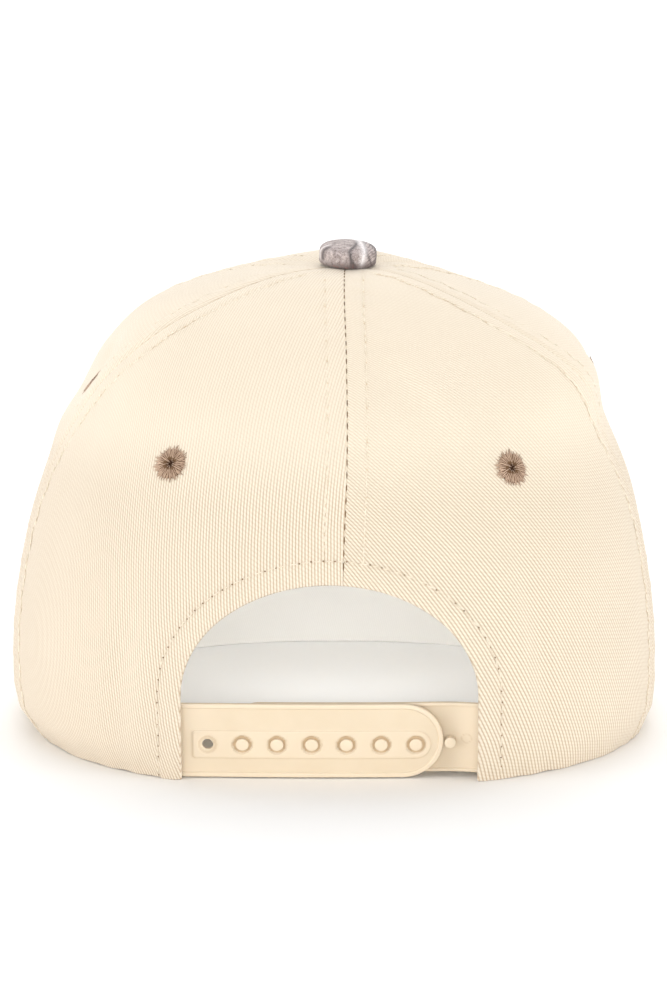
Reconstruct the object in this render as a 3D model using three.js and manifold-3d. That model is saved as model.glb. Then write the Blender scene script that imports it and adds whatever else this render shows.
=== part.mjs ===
// A trucker hat: five twill panels, a brim, a sweatband, a covered button, four stitched eyelets and a
// two-part snap strap under the arch at the back. Millimetres, +Z up, brim towards -Y, strap towards +Y.
// The rim stands on z = 0 at the back and sides and steps up over the brim.
import * as THREE from 'three';
import { mergeVertices } from 'three/addons/utils/BufferGeometryUtils.js';
import Module from 'manifold-3d';

const wasm = await Module();
wasm.setup();

// Clearance and cloth
const GAP = 0.3; // between pieces that touch on the real hat
const TWILL = 1.6; // crown cloth with its seam allowances
const RAD = Math.PI / 180;
const CROWN_CENTRE = { x: 0.2, y: 38.5 }; // from the middle of the hat's footprint, brim and all

// Crown sections from the rim (along = 0) to the button (along = 1).
// left, right, back and front are radii; the rises are heights over the rim's edge.
// The last three are azimuths of seams, in degrees, where 0 is the back, 90 the wearer's left and 180 the front.
const CROWN_COLUMNS = [
  'along', 'left', 'right', 'back', 'front', 'sideRise', 'backRise', 'frontRise', 'backSeam', 'frontSeam', 'centreSeam',
];
const CROWN_ROWS = [
  [0.00, 85.0, 88.5, 85.0, 91.0, 0.0, 0.0, 0.0, 71.0, 122.0, -1.5],
  [0.08, 90.6, 91.8, 87.5, 93.5, 8.0, 9.0, 10.0, 72.0, 122.0, -1.5],
  [0.18, 91.8, 92.2, 89.0, 94.5, 22.0, 23.0, 24.0, 73.5, 122.0, -1.5],
  [0.32, 89.7, 89.9, 88.0, 94.0, 44.0, 44.0, 45.0, 75.0, 123.0, -1.5],
  [0.46, 84.6, 84.8, 83.5, 91.0, 66.0, 65.0, 67.0, 75.5, 124.0, -1.75],
  [0.60, 76.2, 76.0, 75.0, 86.0, 87.0, 85.0, 88.0, 73.0, 124.0, -2.25],
  [0.73, 67.0, 70.0, 61.0, 74.0, 106.7, 104.0, 108.0, 64.5, 122.0, -2.05],
  [0.85, 49.1, 43.5, 41.0, 51.3, 121.6, 119.0, 119.5, 57.0, 120.0, -1.05],
  [0.94, 21.6, 16.2, 19.0, 20.2, 128.6, 127.9, 131.6, 56.5, 119.0, 0.9],
  [1.00, 0.0, 0.0, 0.0, 0.0, 129.6, 129.6, 129.6, 58.0, 118.0, 2.5],
];
const CROWN_HEIGHT = 131;
const CROWN_SQUARENESS = 2.27; // exponent of the plan outline, 2 for an ellipse
const FRONT_LIFT = 4.4; // how far the rim steps up over the brim
const LIFT_REACH = 0.5; // how far forward of the sides that step is complete, as a share of the radius
const LIFT_FADE = 2.5; // how soon it fades up the crown
const LEAN = 3.6; // the soft top leans to the wearer's right
const LEAN_POWER = 4;
const PANEL_TOP = 0.988; // where the panels end, round the button's shank

// Back opening: an ellipse standing on straight sides
const ARCH = { x: 1.1, halfWidth: 40.2, spring: 24, height: 55.7 };

// Eyelets: a stitched ring through the cloth
const EYELET = { flange: 5, neck: 2.6, bore: 0.9, thick: 0.7, backFlange: 4.2 };
const EYELET_PLACES = [
  ['eyelet_back_left', 'back_panel_left', 34.3, 0.593],
  ['eyelet_back_right', 'back_panel_right', -36.5, 0.583],
  ['eyelet_side_left', 'side_panel_left', 80, 0.68],
  ['eyelet_side_right', 'side_panel_right', -98, 0.66],
];

// Button: a flattened dome on a shank that holds the panels' tips
const BUTTON = { radius: 8.1, height: 6.2, squareness: 3, shank: 2.4, washer: 5, washerThick: 0.8, tilt: 5.5 };

// Snap strap, both halves moulded in the same thin plastic
const STRAP_THICK = 1.2;
const STRAP_TILT = 11 * RAD; // it leans out with the back of the crown
const STRAP_BOTTOM = 0.3;
const STRAP_BULGE = 1.6; // how far its middle stands out from its ends
const STRAP_END = 38; // azimuth of the sewn ends, inside the panels
const STRAP_MOUTH = 29.5; // azimuth where it comes out from behind the panels
const HOLES = { count: 7, first: 33.9, pitch: 9.34, height: 9.7, radius: 1.9 };
const PEG = { radius: 1.6, proud: 0.7, count: 7 };
const OVER_STRAP = { height: 21.8, tip: -29.6 };
const UNDER_STRAP = { height: 20.6, tip: 29.5 };

// Sweatband
const BAND = { thick: 1, height: 0.245, hem: 1.4, knee: 0.05, end: 31, strapCover: 3.6, brimCover: 4 };

// Brim
const BRIM = { thick: 3, halfWidth: 83, root: -48, reach: 115, squareness: 2.35, tipLift: 2, corner: 122.5 };

const material = (colour, roughness) =>
  new THREE.MeshStandardMaterial({ color: colour, roughness, metalness: 0 });
const CREAM_TWILL = () => material('#f2e4ca', 0.9);
const CREAM_PLASTIC = () => material('#f1dcba', 0.45);
const PALE_BAND = () => material('#e8e3dc', 0.9);
const BROWN_THREAD = () => material('#a08167', 0.8);
const PRINTED_CLOTH = () => material('#a39088', 0.85);

// A smooth curve through one column of the crown's rows
function column(name) {
  const at = CROWN_COLUMNS.indexOf(name);
  const x = CROWN_ROWS.map((row) => row[0]);
  const y = CROWN_ROWS.map((row) => row[at]);
  const last = x.length - 1;
  const step = (i) => (y[i + 1] - y[i]) / (x[i + 1] - x[i]);
  const slope = x.map((_, i) => {
    if (i === 0) return step(0);
    if (i === last) return step(last - 1);
    return (step(i - 1) * (x[i + 1] - x[i]) + step(i) * (x[i] - x[i - 1])) / (x[i + 1] - x[i - 1]);
  });
  return (along) => {
    let i = 0;
    while (i < last - 1 && along > x[i + 1]) i += 1;
    const h = x[i + 1] - x[i];
    const s = (along - x[i]) / h;
    const a = (1 + 2 * s) * (1 - s) ** 2;
    const b = s * (1 - s) ** 2;
    return a * y[i] + b * h * slope[i] + (1 - a) * y[i + 1] - s * s * (1 - s) * h * slope[i + 1];
  };
}
const section = Object.fromEntries(CROWN_COLUMNS.slice(1).map((name) => [name, column(name)]));

// Height of the rim's edge over the surface that the hat stands on
const forward = (azimuth) => -Math.cos(azimuth * RAD);
const rimLift = (azimuth) => FRONT_LIFT * THREE.MathUtils.smoothstep(forward(azimuth), 0, LIFT_REACH);

// A point on the crown's outer face
function crownFace(azimuth, along) {
  const sin = Math.sin(azimuth * RAD);
  const cos = Math.cos(azimuth * RAD);
  const side = sin >= 0 ? section.left(along) : section.right(along);
  const end = cos >= 0 ? section.back(along) : section.front(along);
  const n = CROWN_SQUARENESS;
  const radius = ((Math.abs(sin) / side) ** n + (Math.abs(cos) / end) ** n) ** (-1 / n);
  const endRise = cos >= 0 ? section.backRise(along) : section.frontRise(along);
  const z = sin ** 2 * section.sideRise(along) + cos ** 2 * endRise + rimLift(azimuth) * (1 - along) ** LIFT_FADE;
  const lean = LEAN * (Math.max(z, 0) / CROWN_HEIGHT) ** LEAN_POWER;
  return new THREE.Vector3(radius * sin - lean, radius * cos, z);
}

// The way out of the crown's face at a point
function crownNormal(azimuth, along) {
  const low = Math.max(0, along - 0.004);
  const high = Math.min(0.998, along + 0.004);
  const round = crownFace(azimuth + 0.5, along).sub(crownFace(azimuth - 0.5, along));
  const up = crownFace(azimuth, high).sub(crownFace(azimuth, low));
  return up.cross(round).normalize();
}

// A point that lies a given depth inside the crown's face; the rim's edge is kept level
function crown(azimuth, along, depth) {
  const point = crownFace(azimuth, along);
  if (depth === 0) return point;
  const normal = crownNormal(azimuth, along);
  if (along > 0.001) return point.addScaledVector(normal, -depth);
  const level = Math.hypot(normal.x, normal.y);
  return point.add(new THREE.Vector3(-normal.x, -normal.y, 0).multiplyScalar(depth / level ** 2));
}

// A closed sheet between two faces, each a function of u and v from 0 to 1
function sheet(outer, inner, uSteps, vSteps) {
  const positions = [];
  const index = [];
  for (const face of [outer, inner]) {
    for (let i = 0; i <= uSteps; i += 1) {
      for (let j = 0; j <= vSteps; j += 1) positions.push(...face(i / uSteps, j / vSteps).toArray());
    }
  }
  const at = (side, i, j) => (side * (uSteps + 1) + i) * (vSteps + 1) + j;
  const quad = (a, b, c, d) => index.push(a, b, c, a, c, d);
  for (let i = 0; i < uSteps; i += 1) {
    for (let j = 0; j < vSteps; j += 1) {
      quad(at(0, i, j), at(0, i + 1, j), at(0, i + 1, j + 1), at(0, i, j + 1));
      quad(at(1, i, j), at(1, i, j + 1), at(1, i + 1, j + 1), at(1, i + 1, j));
    }
    quad(at(0, i, 0), at(1, i, 0), at(1, i + 1, 0), at(0, i + 1, 0));
    quad(at(0, i, vSteps), at(0, i + 1, vSteps), at(1, i + 1, vSteps), at(1, i, vSteps));
  }
  for (let j = 0; j < vSteps; j += 1) {
    quad(at(0, 0, j), at(0, 0, j + 1), at(1, 0, j + 1), at(1, 0, j));
    quad(at(0, uSteps, j), at(1, uSteps, j), at(1, uSteps, j + 1), at(0, uSteps, j + 1));
  }
  const geometry = new THREE.BufferGeometry();
  geometry.setAttribute('position', new THREE.Float32BufferAttribute(positions, 3));
  geometry.setIndex(index);
  return facingOut(geometry);
}

// Turns the triangles of a closed geometry that has them inside out
function facingOut(geometry) {
  const p = geometry.getAttribute('position');
  const index = geometry.getIndex();
  const [a, b, c] = [new THREE.Vector3(), new THREE.Vector3(), new THREE.Vector3()];
  let volume = 0;
  for (let i = 0; i < index.count; i += 3) {
    a.fromBufferAttribute(p, index.getX(i));
    b.fromBufferAttribute(p, index.getX(i + 1));
    c.fromBufferAttribute(p, index.getX(i + 2));
    volume += a.dot(b.cross(c));
  }
  if (volume > 0) return geometry;
  for (let i = 0; i < index.count; i += 3) {
    const first = index.getX(i);
    index.setX(i, index.getX(i + 1));
    index.setX(i + 1, first);
  }
  return geometry;
}

// Joining and cutting
function solid(geometry) {
  const plain = geometry.clone();
  plain.deleteAttribute('normal');
  plain.deleteAttribute('uv');
  const merged = mergeVertices(plain, 1e-4);
  return new wasm.Manifold(new wasm.Mesh({
    numProp: 3,
    vertProperties: new Float32Array(merged.getAttribute('position').array),
    triVerts: new Uint32Array(merged.getIndex().array),
  }));
}

function fromSolid(body) {
  const mesh = body.getMesh();
  const geometry = new THREE.BufferGeometry();
  geometry.setAttribute('position', new THREE.BufferAttribute(new Float32Array(mesh.vertProperties), 3));
  geometry.setIndex(new THREE.BufferAttribute(new Uint32Array(mesh.triVerts), 1));
  return geometry;
}

const cut = (geometry, tools) =>
  fromSolid(tools.reduce((body, tool) => body.subtract(solid(tool)), solid(geometry)));
const join = (geometry, additions) =>
  fromSolid(additions.reduce((body, addition) => body.add(solid(addition)), solid(geometry)));

// A round bar along an axis, from one distance along it to another
function bar(origin, axis, radius, from, to, sides) {
  const geometry = new THREE.CylinderGeometry(radius, radius, to - from, sides);
  geometry.rotateX(Math.PI / 2);
  geometry.translate(0, 0, (from + to) / 2);
  return place(geometry, origin, axis);
}

function place(geometry, origin, axis) {
  const turn = new THREE.Quaternion().setFromUnitVectors(new THREE.Vector3(0, 0, 1), axis);
  geometry.applyQuaternion(turn);
  geometry.translate(origin.x, origin.y, origin.z);
  return geometry;
}

const hat = new THREE.Group();
const aroundCrown = new THREE.Group();
aroundCrown.position.set(CROWN_CENTRE.x, CROWN_CENTRE.y, 0);
hat.add(aroundCrown);

function add(name, geometry, surface) {
  geometry.computeVertexNormals();
  const mesh = new THREE.Mesh(geometry, surface);
  mesh.name = name;
  aroundCrown.add(mesh);
}

// Crown panels, each between two seams
function panel(from, to, steps, rows) {
  const azimuthAt = (u, along) => {
    const start = from(along);
    const end = to(along);
    const radius = Math.hypot(...crownFace((start + end) / 2, along).toArray().slice(0, 2));
    const clear = (0.65 * GAP) / radius / RAD;
    return start + clear + (end - start - 2 * clear) * u;
  };
  const face = (depth) => (u, v) => {
    const along = v * PANEL_TOP;
    return crown(azimuthAt(u, along), along, depth);
  };
  return sheet(face(0), face(TWILL), steps, rows);
}

// The cutter for the back opening
function archTool() {
  const { x, halfWidth, spring, height } = ARCH;
  const outline = new THREE.Shape();
  outline.moveTo(x - halfWidth, -5);
  outline.lineTo(x + halfWidth, -5);
  outline.lineTo(x + halfWidth, spring);
  outline.absellipse(x, spring, halfWidth, height - spring, 0, Math.PI, false);
  outline.closePath();
  const geometry = new THREE.ExtrudeGeometry(outline, { depth: 60, bevelEnabled: false, curveSegments: 28 });
  geometry.rotateX(Math.PI / 2);
  geometry.translate(0, 110, 0);
  return geometry;
}

function eyeletHole(azimuth, along) {
  return bar(crownFace(azimuth, along), crownNormal(azimuth, along), EYELET.neck + GAP, -6, 6, 20);
}

function crownPanels() {
  const seam = {
    centre: section.centreSeam,
    backLeft: section.backSeam,
    frontLeft: section.frontSeam,
    frontRight: (along) => 360 - section.frontSeam(along),
    backRight: (along) => -section.backSeam(along),
    sideRight: (along) => -section.frontSeam(along),
  };
  const panels = [
    ['back_panel_left', seam.centre, seam.backLeft, 12, [archTool()]],
    ['back_panel_right', seam.backRight, seam.centre, 12, [archTool()]],
    ['side_panel_left', seam.backLeft, seam.frontLeft, 9, []],
    ['side_panel_right', seam.sideRight, seam.backRight, 9, []],
    ['front_panel', seam.frontLeft, seam.frontRight, 18, []],
  ];
  for (const [name, from, to, steps, tools] of panels) {
    const holes = EYELET_PLACES.filter((place) => place[1] === name);
    const cutters = tools.concat(holes.map(([, , azimuth, along]) => eyeletHole(azimuth, along)));
    const whole = panel(from, to, steps, 20);
    add(name, cutters.length ? cut(whole, cutters) : whole, CREAM_TWILL());
  }
}

function eyelets() {
  const { flange, neck, bore, thick, backFlange } = EYELET;
  const back = -TWILL - 2 * GAP;
  const profile = [
    [bore, back - thick / 2],
    [backFlange, back - thick / 2],
    [backFlange, back],
    [neck, back],
    [neck, GAP],
    [flange, GAP],
    [flange - 0.3, GAP + thick],
    [bore, GAP + thick],
    [bore, back - thick / 2],
  ].map(([x, y]) => new THREE.Vector2(x, y));
  for (const [name, , azimuth, along] of EYELET_PLACES) {
    const ring = new THREE.LatheGeometry(profile, 14);
    ring.rotateX(Math.PI / 2);
    const closed = mergeVertices(stripped(ring), 1e-4);
    add(name, place(facingOut(closed), crownFace(azimuth, along), crownNormal(azimuth, along)), BROWN_THREAD());
  }
}

function stripped(geometry) {
  geometry.deleteAttribute('normal');
  geometry.deleteAttribute('uv');
  return geometry;
}

// Button with its shank and the washer under the panels' tips
function button() {
  const { radius, height, squareness, shank, washer, washerThick, tilt } = BUTTON;
  const profile = [
    [0, -TWILL - 4 * GAP - washerThick],
    [washer, -TWILL - 4 * GAP - washerThick],
    [washer, -TWILL - 4 * GAP],
    [shank, -TWILL - 4 * GAP],
    [shank, GAP],
  ];
  const steps = 9;
  for (let i = 1; i <= steps; i += 1) {
    const angle = (-80 + (170 * i) / steps) * RAD;
    const out = Math.max(0, Math.cos(angle)) ** (2 / squareness);
    const up = Math.sign(Math.sin(angle)) * Math.abs(Math.sin(angle)) ** (2 / squareness);
    profile.push([i === steps ? 0 : radius * out, GAP + (height / 2) * (1 + up)]);
  }
  const body = new THREE.LatheGeometry(profile.map(([x, y]) => new THREE.Vector2(x, y)), 24);
  body.rotateX(Math.PI / 2);
  body.rotateX(-tilt * RAD);
  body.translate(-LEAN, 0, section.sideRise(1));
  return facingOut(mergeVertices(stripped(body), 1e-4));
}

// Sweatband, which steps in to cover the strap's sewn ends and hangs lower to cover the brim's root
function sweatband() {
  const steps = 40;
  const overBrim = (azimuth) => THREE.MathUtils.smoothstep(forward(azimuth), 0.38, 0.54);
  const depthAt = (azimuth) => {
    const overStrap = THREE.MathUtils.smoothstep(STRAP_END + 6 - Math.min(azimuth, 360 - azimuth), 0, 5);
    return TWILL + 2 * GAP + 3 * GAP * overBrim(azimuth) + BAND.strapCover * overStrap;
  };
  const face = (extra) => (u, v) => {
    const azimuth = BAND.end + (360 - 2 * BAND.end) * u;
    const depth = depthAt(azimuth) + extra;
    if (v > 0.2) return crown(azimuth, BAND.knee + ((BAND.height - BAND.knee) * (3 * v - 1)) / 2, depth);
    const hem = crown(azimuth, 0, depth);
    return hem.setZ(hem.z + BAND.hem - BAND.brimCover * overBrim(azimuth));
  };
  return sheet(face(0), face(BAND.thick), steps, 3);
}

// Brim: ruled from the rim's edge to the low arch of its own outer edge
function brim() {
  const { thick, halfWidth, root, reach, squareness, tipLift, corner } = BRIM;
  const innerEdge = (u) => {
    const azimuth = corner + (360 - 2 * corner) * u;
    const point = crown(azimuth, 0, TWILL);
    point.z = rimLift(azimuth) - GAP;
    return point;
  };
  const outerEdge = (u) => {
    const angle = (90 - 180 * u) * RAD;
    const x = halfWidth * Math.sign(Math.sin(angle)) * Math.abs(Math.sin(angle)) ** (2 / squareness);
    const y = root - reach * Math.max(0, Math.cos(angle)) ** (2 / squareness);
    return new THREE.Vector3(x, y, thick + tipLift * (1 - (x / halfWidth) ** 2));
  };
  const top = (u, v) => innerEdge(u).lerp(outerEdge(u), v);
  const under = (u, v) => top(u, v).add(new THREE.Vector3(0, 0, -thick));
  return sheet(top, under, 28, 6);
}

// Snap strap: its plan line, then a point at a distance along x, up its height and out of its face
const strapSeat = (azimuth) => crown(azimuth, 0.004, TWILL + 3 * GAP);
function strapPlan(inset) {
  const mouth = strapSeat(STRAP_MOUTH).y;
  const seats = [STRAP_END, (STRAP_END + STRAP_MOUTH) / 2, STRAP_MOUTH];
  const left = seats.map((azimuth) => strapSeat(azimuth));
  const right = seats.map((azimuth) => strapSeat(-azimuth)).reverse();
  const middle = [32, 16, 0, -16, -32].map((x) => new THREE.Vector3(x, mouth + STRAP_BULGE * (1 - (x / 44) ** 2) - inset, 0));
  const points = [...left, ...middle, ...right];
  points.forEach((point) => point.setZ(STRAP_BOTTOM));
  return new THREE.CatmullRomCurve3(points, false, 'centripetal');
}

function strapFrame(curve, x) {
  let low = 0;
  let high = 1;
  for (let i = 0; i < 30; i += 1) {
    const middle = (low + high) / 2;
    if (curve.getPoint(middle).x > x) low = middle;
    else high = middle;
  }
  const tangent = curve.getTangent(low);
  const out = new THREE.Vector3(-tangent.y, tangent.x, 0).normalize();
  if (out.y < 0) out.negate();
  return { point: curve.getPoint(low), out };
}

function strapPoint(curve, x, height, depth) {
  const { point, out } = strapFrame(curve, x);
  const up = out.clone().multiplyScalar(Math.sin(STRAP_TILT)).add(new THREE.Vector3(0, 0, Math.cos(STRAP_TILT)));
  const face = out.clone().multiplyScalar(Math.cos(STRAP_TILT)).add(new THREE.Vector3(0, 0, -Math.sin(STRAP_TILT)));
  return point.addScaledVector(up, height).addScaledVector(face, -depth);
}

function strapAxis(curve, x) {
  return strapPoint(curve, x, 5, 0).sub(strapPoint(curve, x, 5, 1)).normalize();
}

// A strap half from its sewn end to its rounded tip
function strapBody(curve, end, tip, lower, upper) {
  const radius = (upper - lower) / 2;
  const way = Math.sign(tip - end);
  const span = (u) => {
    const straight = 0.78;
    if (u <= straight) return { x: end + (tip - way * radius - end) * (u / straight), half: radius };
    const turn = ((u - straight) / (1 - straight)) * 84 * RAD;
    return { x: tip - way * radius + way * radius * Math.sin(turn), half: radius * Math.cos(turn) };
  };
  const face = (depth) => (u, v) => {
    const { x, half } = span(u);
    return strapPoint(curve, x, lower + radius + half * (2 * v - 1), depth);
  };
  return sheet(face(0), face(STRAP_THICK), 24, 2);
}

function strapWithHoles() {
  const curve = strapPlan(0);
  const end = strapSeat(STRAP_END).x - 0.5;
  const body = strapBody(curve, end, OVER_STRAP.tip, 0, OVER_STRAP.height);
  const tools = [];
  for (let i = 0; i < HOLES.count; i += 1) {
    const x = HOLES.first - HOLES.pitch * i;
    tools.push(bar(strapPoint(curve, x, HOLES.height, 0), strapAxis(curve, x), HOLES.radius, -4, 4, 14));
  }
  return cut(body, tools);
}

function strapWithPegs() {
  const curve = strapPlan(STRAP_THICK + GAP);
  const over = strapPlan(0);
  const end = strapSeat(-STRAP_END).x + 0.5;
  const top = OVER_STRAP.height;
  const body = strapBody(curve, end, UNDER_STRAP.tip, top - UNDER_STRAP.height, top);
  const pegs = [];
  for (let i = 1; i <= PEG.count; i += 1) {
    const x = HOLES.first - HOLES.pitch * i;
    const reach = i < HOLES.count ? STRAP_THICK + GAP : 1;
    const seat = strapPoint(over, x, HOLES.height, STRAP_THICK + GAP);
    pegs.push(bar(seat, strapAxis(over, x), PEG.radius, -0.6, reach + PEG.proud, 12));
  }
  return join(body, pegs);
}

crownPanels();
eyelets();
add('button', button(), PRINTED_CLOTH());
add('sweatband', sweatband(), PALE_BAND());
add('brim', brim(), CREAM_TWILL());
add('strap_with_holes', strapWithHoles(), CREAM_PLASTIC());
add('strap_with_pegs', strapWithPegs(), CREAM_PLASTIC());

export default hat;
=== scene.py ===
import math

import bmesh
import bpy
import numpy as np
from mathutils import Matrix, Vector
from mathutils.kdtree import KDTree


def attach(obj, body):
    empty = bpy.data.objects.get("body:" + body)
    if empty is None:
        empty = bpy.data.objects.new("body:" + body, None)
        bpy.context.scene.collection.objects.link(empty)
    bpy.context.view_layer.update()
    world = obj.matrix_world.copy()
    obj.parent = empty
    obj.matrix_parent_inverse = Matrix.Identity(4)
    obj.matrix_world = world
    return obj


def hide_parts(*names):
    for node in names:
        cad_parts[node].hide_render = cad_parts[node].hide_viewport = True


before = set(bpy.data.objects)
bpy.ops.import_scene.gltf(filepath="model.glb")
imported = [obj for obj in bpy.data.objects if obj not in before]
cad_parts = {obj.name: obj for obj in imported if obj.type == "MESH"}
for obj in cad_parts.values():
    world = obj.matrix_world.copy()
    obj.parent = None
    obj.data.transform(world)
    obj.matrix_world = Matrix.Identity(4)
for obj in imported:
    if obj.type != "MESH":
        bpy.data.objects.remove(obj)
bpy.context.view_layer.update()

MM = 0.001

# Crown shape
# Five gores of cotton twill sewn edge to edge over a head's form. Every other piece of the hat is set out
# on this one surface, by an azimuth (0 at the back, 90 at the wearer's left) and a share of the way up.
CROWN_COLUMNS = (
    "along", "left", "right", "back", "front",
    "side_rise", "back_rise", "front_rise", "back_seam", "front_seam", "centre_seam",
)
CROWN_ROWS = np.array([
    (0.00, 85.0, 88.5, 85.0, 91.0, 0.0, 0.0, 0.0, 71.0, 122.0, -1.5),
    (0.08, 90.6, 91.8, 87.5, 93.5, 8.0, 9.0, 10.0, 72.0, 122.0, -1.5),
    (0.18, 91.8, 92.2, 89.0, 94.5, 22.0, 23.0, 24.0, 73.5, 122.0, -1.5),
    (0.32, 89.7, 89.9, 88.0, 94.0, 44.0, 44.0, 45.0, 75.0, 123.0, -1.5),
    (0.46, 84.6, 84.8, 83.5, 91.0, 66.0, 65.0, 67.0, 75.5, 124.0, -1.75),
    (0.60, 76.2, 76.0, 75.0, 86.0, 87.0, 85.0, 88.0, 73.0, 124.0, -2.25),
    (0.73, 67.0, 70.0, 61.0, 74.0, 106.7, 104.0, 108.0, 64.5, 122.0, -2.05),
    (0.85, 49.1, 43.5, 41.0, 51.3, 121.6, 119.0, 119.5, 57.0, 120.0, -1.05),
    (0.94, 21.6, 16.2, 19.0, 20.2, 128.6, 127.9, 131.6, 56.5, 119.0, 0.9),
    (1.00, 0.0, 0.0, 0.0, 0.0, 129.6, 129.6, 129.6, 58.0, 118.0, 2.5),
])
CROWN_CENTRE = np.array((0.2, 38.5, 0.0))
CROWN_HEIGHT = 131
CROWN_RADIUS = 88
CROWN_SQUARENESS = 2.27
FRONT_LIFT = 4.4
LIFT_REACH = 0.5
LIFT_FADE = 2.5
LEAN = 3.6
LEAN_POWER = 4
PANEL_TOP = 0.988


def section(name, along):
    """A smooth curve through one column of the crown's rows."""
    x = CROWN_ROWS[:, 0]
    y = CROWN_ROWS[:, CROWN_COLUMNS.index(name)]
    run, step = np.diff(x), np.diff(y) / np.diff(x)
    between = (step[:-1] * run[1:] + step[1:] * run[:-1]) / (x[2:] - x[:-2])
    slope = np.concatenate((step[:1], between, step[-1:]))
    i = np.clip(np.searchsorted(x, along, side="right") - 1, 0, len(x) - 2)
    s = (along - x[i]) / run[i]
    early = (1 + 2 * s) * (1 - s) ** 2
    return (early * y[i] + s * (1 - s) ** 2 * run[i] * slope[i]
            + (1 - early) * y[i + 1] - s * s * (1 - s) * run[i] * slope[i + 1])


def rim_lift(azimuth):
    """Height of the rim's edge, in millimetres: it steps up over the brim."""
    forward = np.clip(-np.cos(np.radians(azimuth)) / LIFT_REACH, 0, 1)
    return FRONT_LIFT * forward**2 * (3 - 2 * forward)


def crown_face(azimuth, along):
    """Points of the crown's outer face, in millimetres from the foot of its centre."""
    azimuth, along = np.broadcast_arrays(np.asarray(azimuth, float), np.asarray(along, float))
    sine, cosine = np.sin(np.radians(azimuth)), np.cos(np.radians(azimuth))
    side = np.where(sine >= 0, section("left", along), section("right", along))
    end = np.where(cosine >= 0, section("back", along), section("front", along))
    n = CROWN_SQUARENESS
    radius = ((np.abs(sine) / side) ** n + (np.abs(cosine) / end) ** n) ** (-1 / n)
    end_rise = np.where(cosine >= 0, section("back_rise", along), section("front_rise", along))
    z = sine**2 * section("side_rise", along) + cosine**2 * end_rise
    z = z + rim_lift(azimuth) * (1 - along) ** LIFT_FADE
    lean = LEAN * (np.clip(z, 0, None) / CROWN_HEIGHT) ** LEAN_POWER
    return np.stack((radius * sine - lean, radius * cosine, z), -1)


def crown_slopes(azimuth, along):
    """How the crown's face moves with azimuth, in degrees, and with the share of the way up."""
    low, high = np.clip(along - 0.004, 0, None), np.clip(along + 0.004, None, 0.998)
    round_it = crown_face(azimuth + 0.5, along) - crown_face(azimuth - 0.5, along)
    up_it = (crown_face(azimuth, high) - crown_face(azimuth, low)) / (high - low)[..., None]
    return round_it, up_it


def crown_normal(azimuth, along):
    azimuth, along = np.broadcast_arrays(np.asarray(azimuth, float), np.asarray(along, float))
    round_it, up_it = crown_slopes(azimuth, along)
    normal = np.cross(up_it, round_it)
    return normal / np.linalg.norm(normal, axis=-1, keepdims=True)


def crown(azimuth, along, out=0.0):
    """Points that stand out of the crown's face by some millimetres, in the frame's metres."""
    out = np.asarray(out, float)[..., None]
    return (crown_face(azimuth, along) + out * crown_normal(azimuth, along) + CROWN_CENTRE) * MM


def seam(name, along):
    """The azimuth of a seam, at a share of the way up."""
    along = np.asarray(along, float)
    return {
        "centre": section("centre_seam", along),
        "back left": section("back_seam", along),
        "front left": section("front_seam", along),
        "front right": 360 - section("front_seam", along),
        "side right": -section("front_seam", along),
        "back right": -section("back_seam", along),
    }[name]


# Back opening
# The two back panels are cut away below in an arch: an upright at either side of the strap and a flat
# half ellipse over it, with the cloth turned in all along the edge.
ARCH = {"x": 1.1, "half_width": 40.2, "spring": 24.0, "height": 55.7, "left_turn": 95}


def locate(x, z):
    """The azimuth and share of the way up at which the crown's back passes through x and z."""
    azimuth, along = np.degrees(np.arcsin(x / 90)), z / 140
    for _ in range(30):
        miss = np.stack((x, z), -1) - crown_face(azimuth, along)[..., ::2]
        round_it, up_it = crown_slopes(azimuth, along)
        (a, c), (b, d) = round_it[..., ::2].T, up_it[..., ::2].T
        share = a * d - b * c
        azimuth = azimuth + (d * miss[..., 0] - b * miss[..., 1]) / share
        along = np.clip(along + (a * miss[..., 1] - c * miss[..., 0]) / share, 0, 0.9)
    return azimuth, along


def arch_edge(side, count):
    """The arch from the rim up to the centre seam, as evenly spaced azimuths and shares."""
    turn = np.radians(np.linspace(0, ARCH["left_turn"] if side > 0 else 180 - ARCH["left_turn"], 300))[1:]
    rise = ARCH["height"] - ARCH["spring"]
    x = ARCH["x"] + side * ARCH["half_width"] * np.concatenate((np.ones(120), np.cos(turn)))
    z = np.concatenate((np.linspace(0, ARCH["spring"], 120), ARCH["spring"] + rise * np.sin(turn)))
    return evenly(*locate(x, z), count)


def run_along(points):
    """How far along a line each of its points is."""
    return np.concatenate(((0,), np.cumsum(np.linalg.norm(np.diff(points, axis=0), axis=1))))


def evenly(azimuth, along, count):
    """Takes a line on the crown at points evenly spaced over the cloth."""
    run = run_along(crown_face(azimuth, along))
    places = spaced(count) * run[-1]
    return np.interp(places, run, azimuth), np.interp(places, run, along)


def spaced(count, crowding=0.82):
    """Shares from 0 to 1 that crowd towards both ends, where the cloth's edges turn in."""
    s = np.linspace(0, 1, count)
    return s - crowding * np.sin(2 * np.pi * s) / (2 * np.pi)


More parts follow.
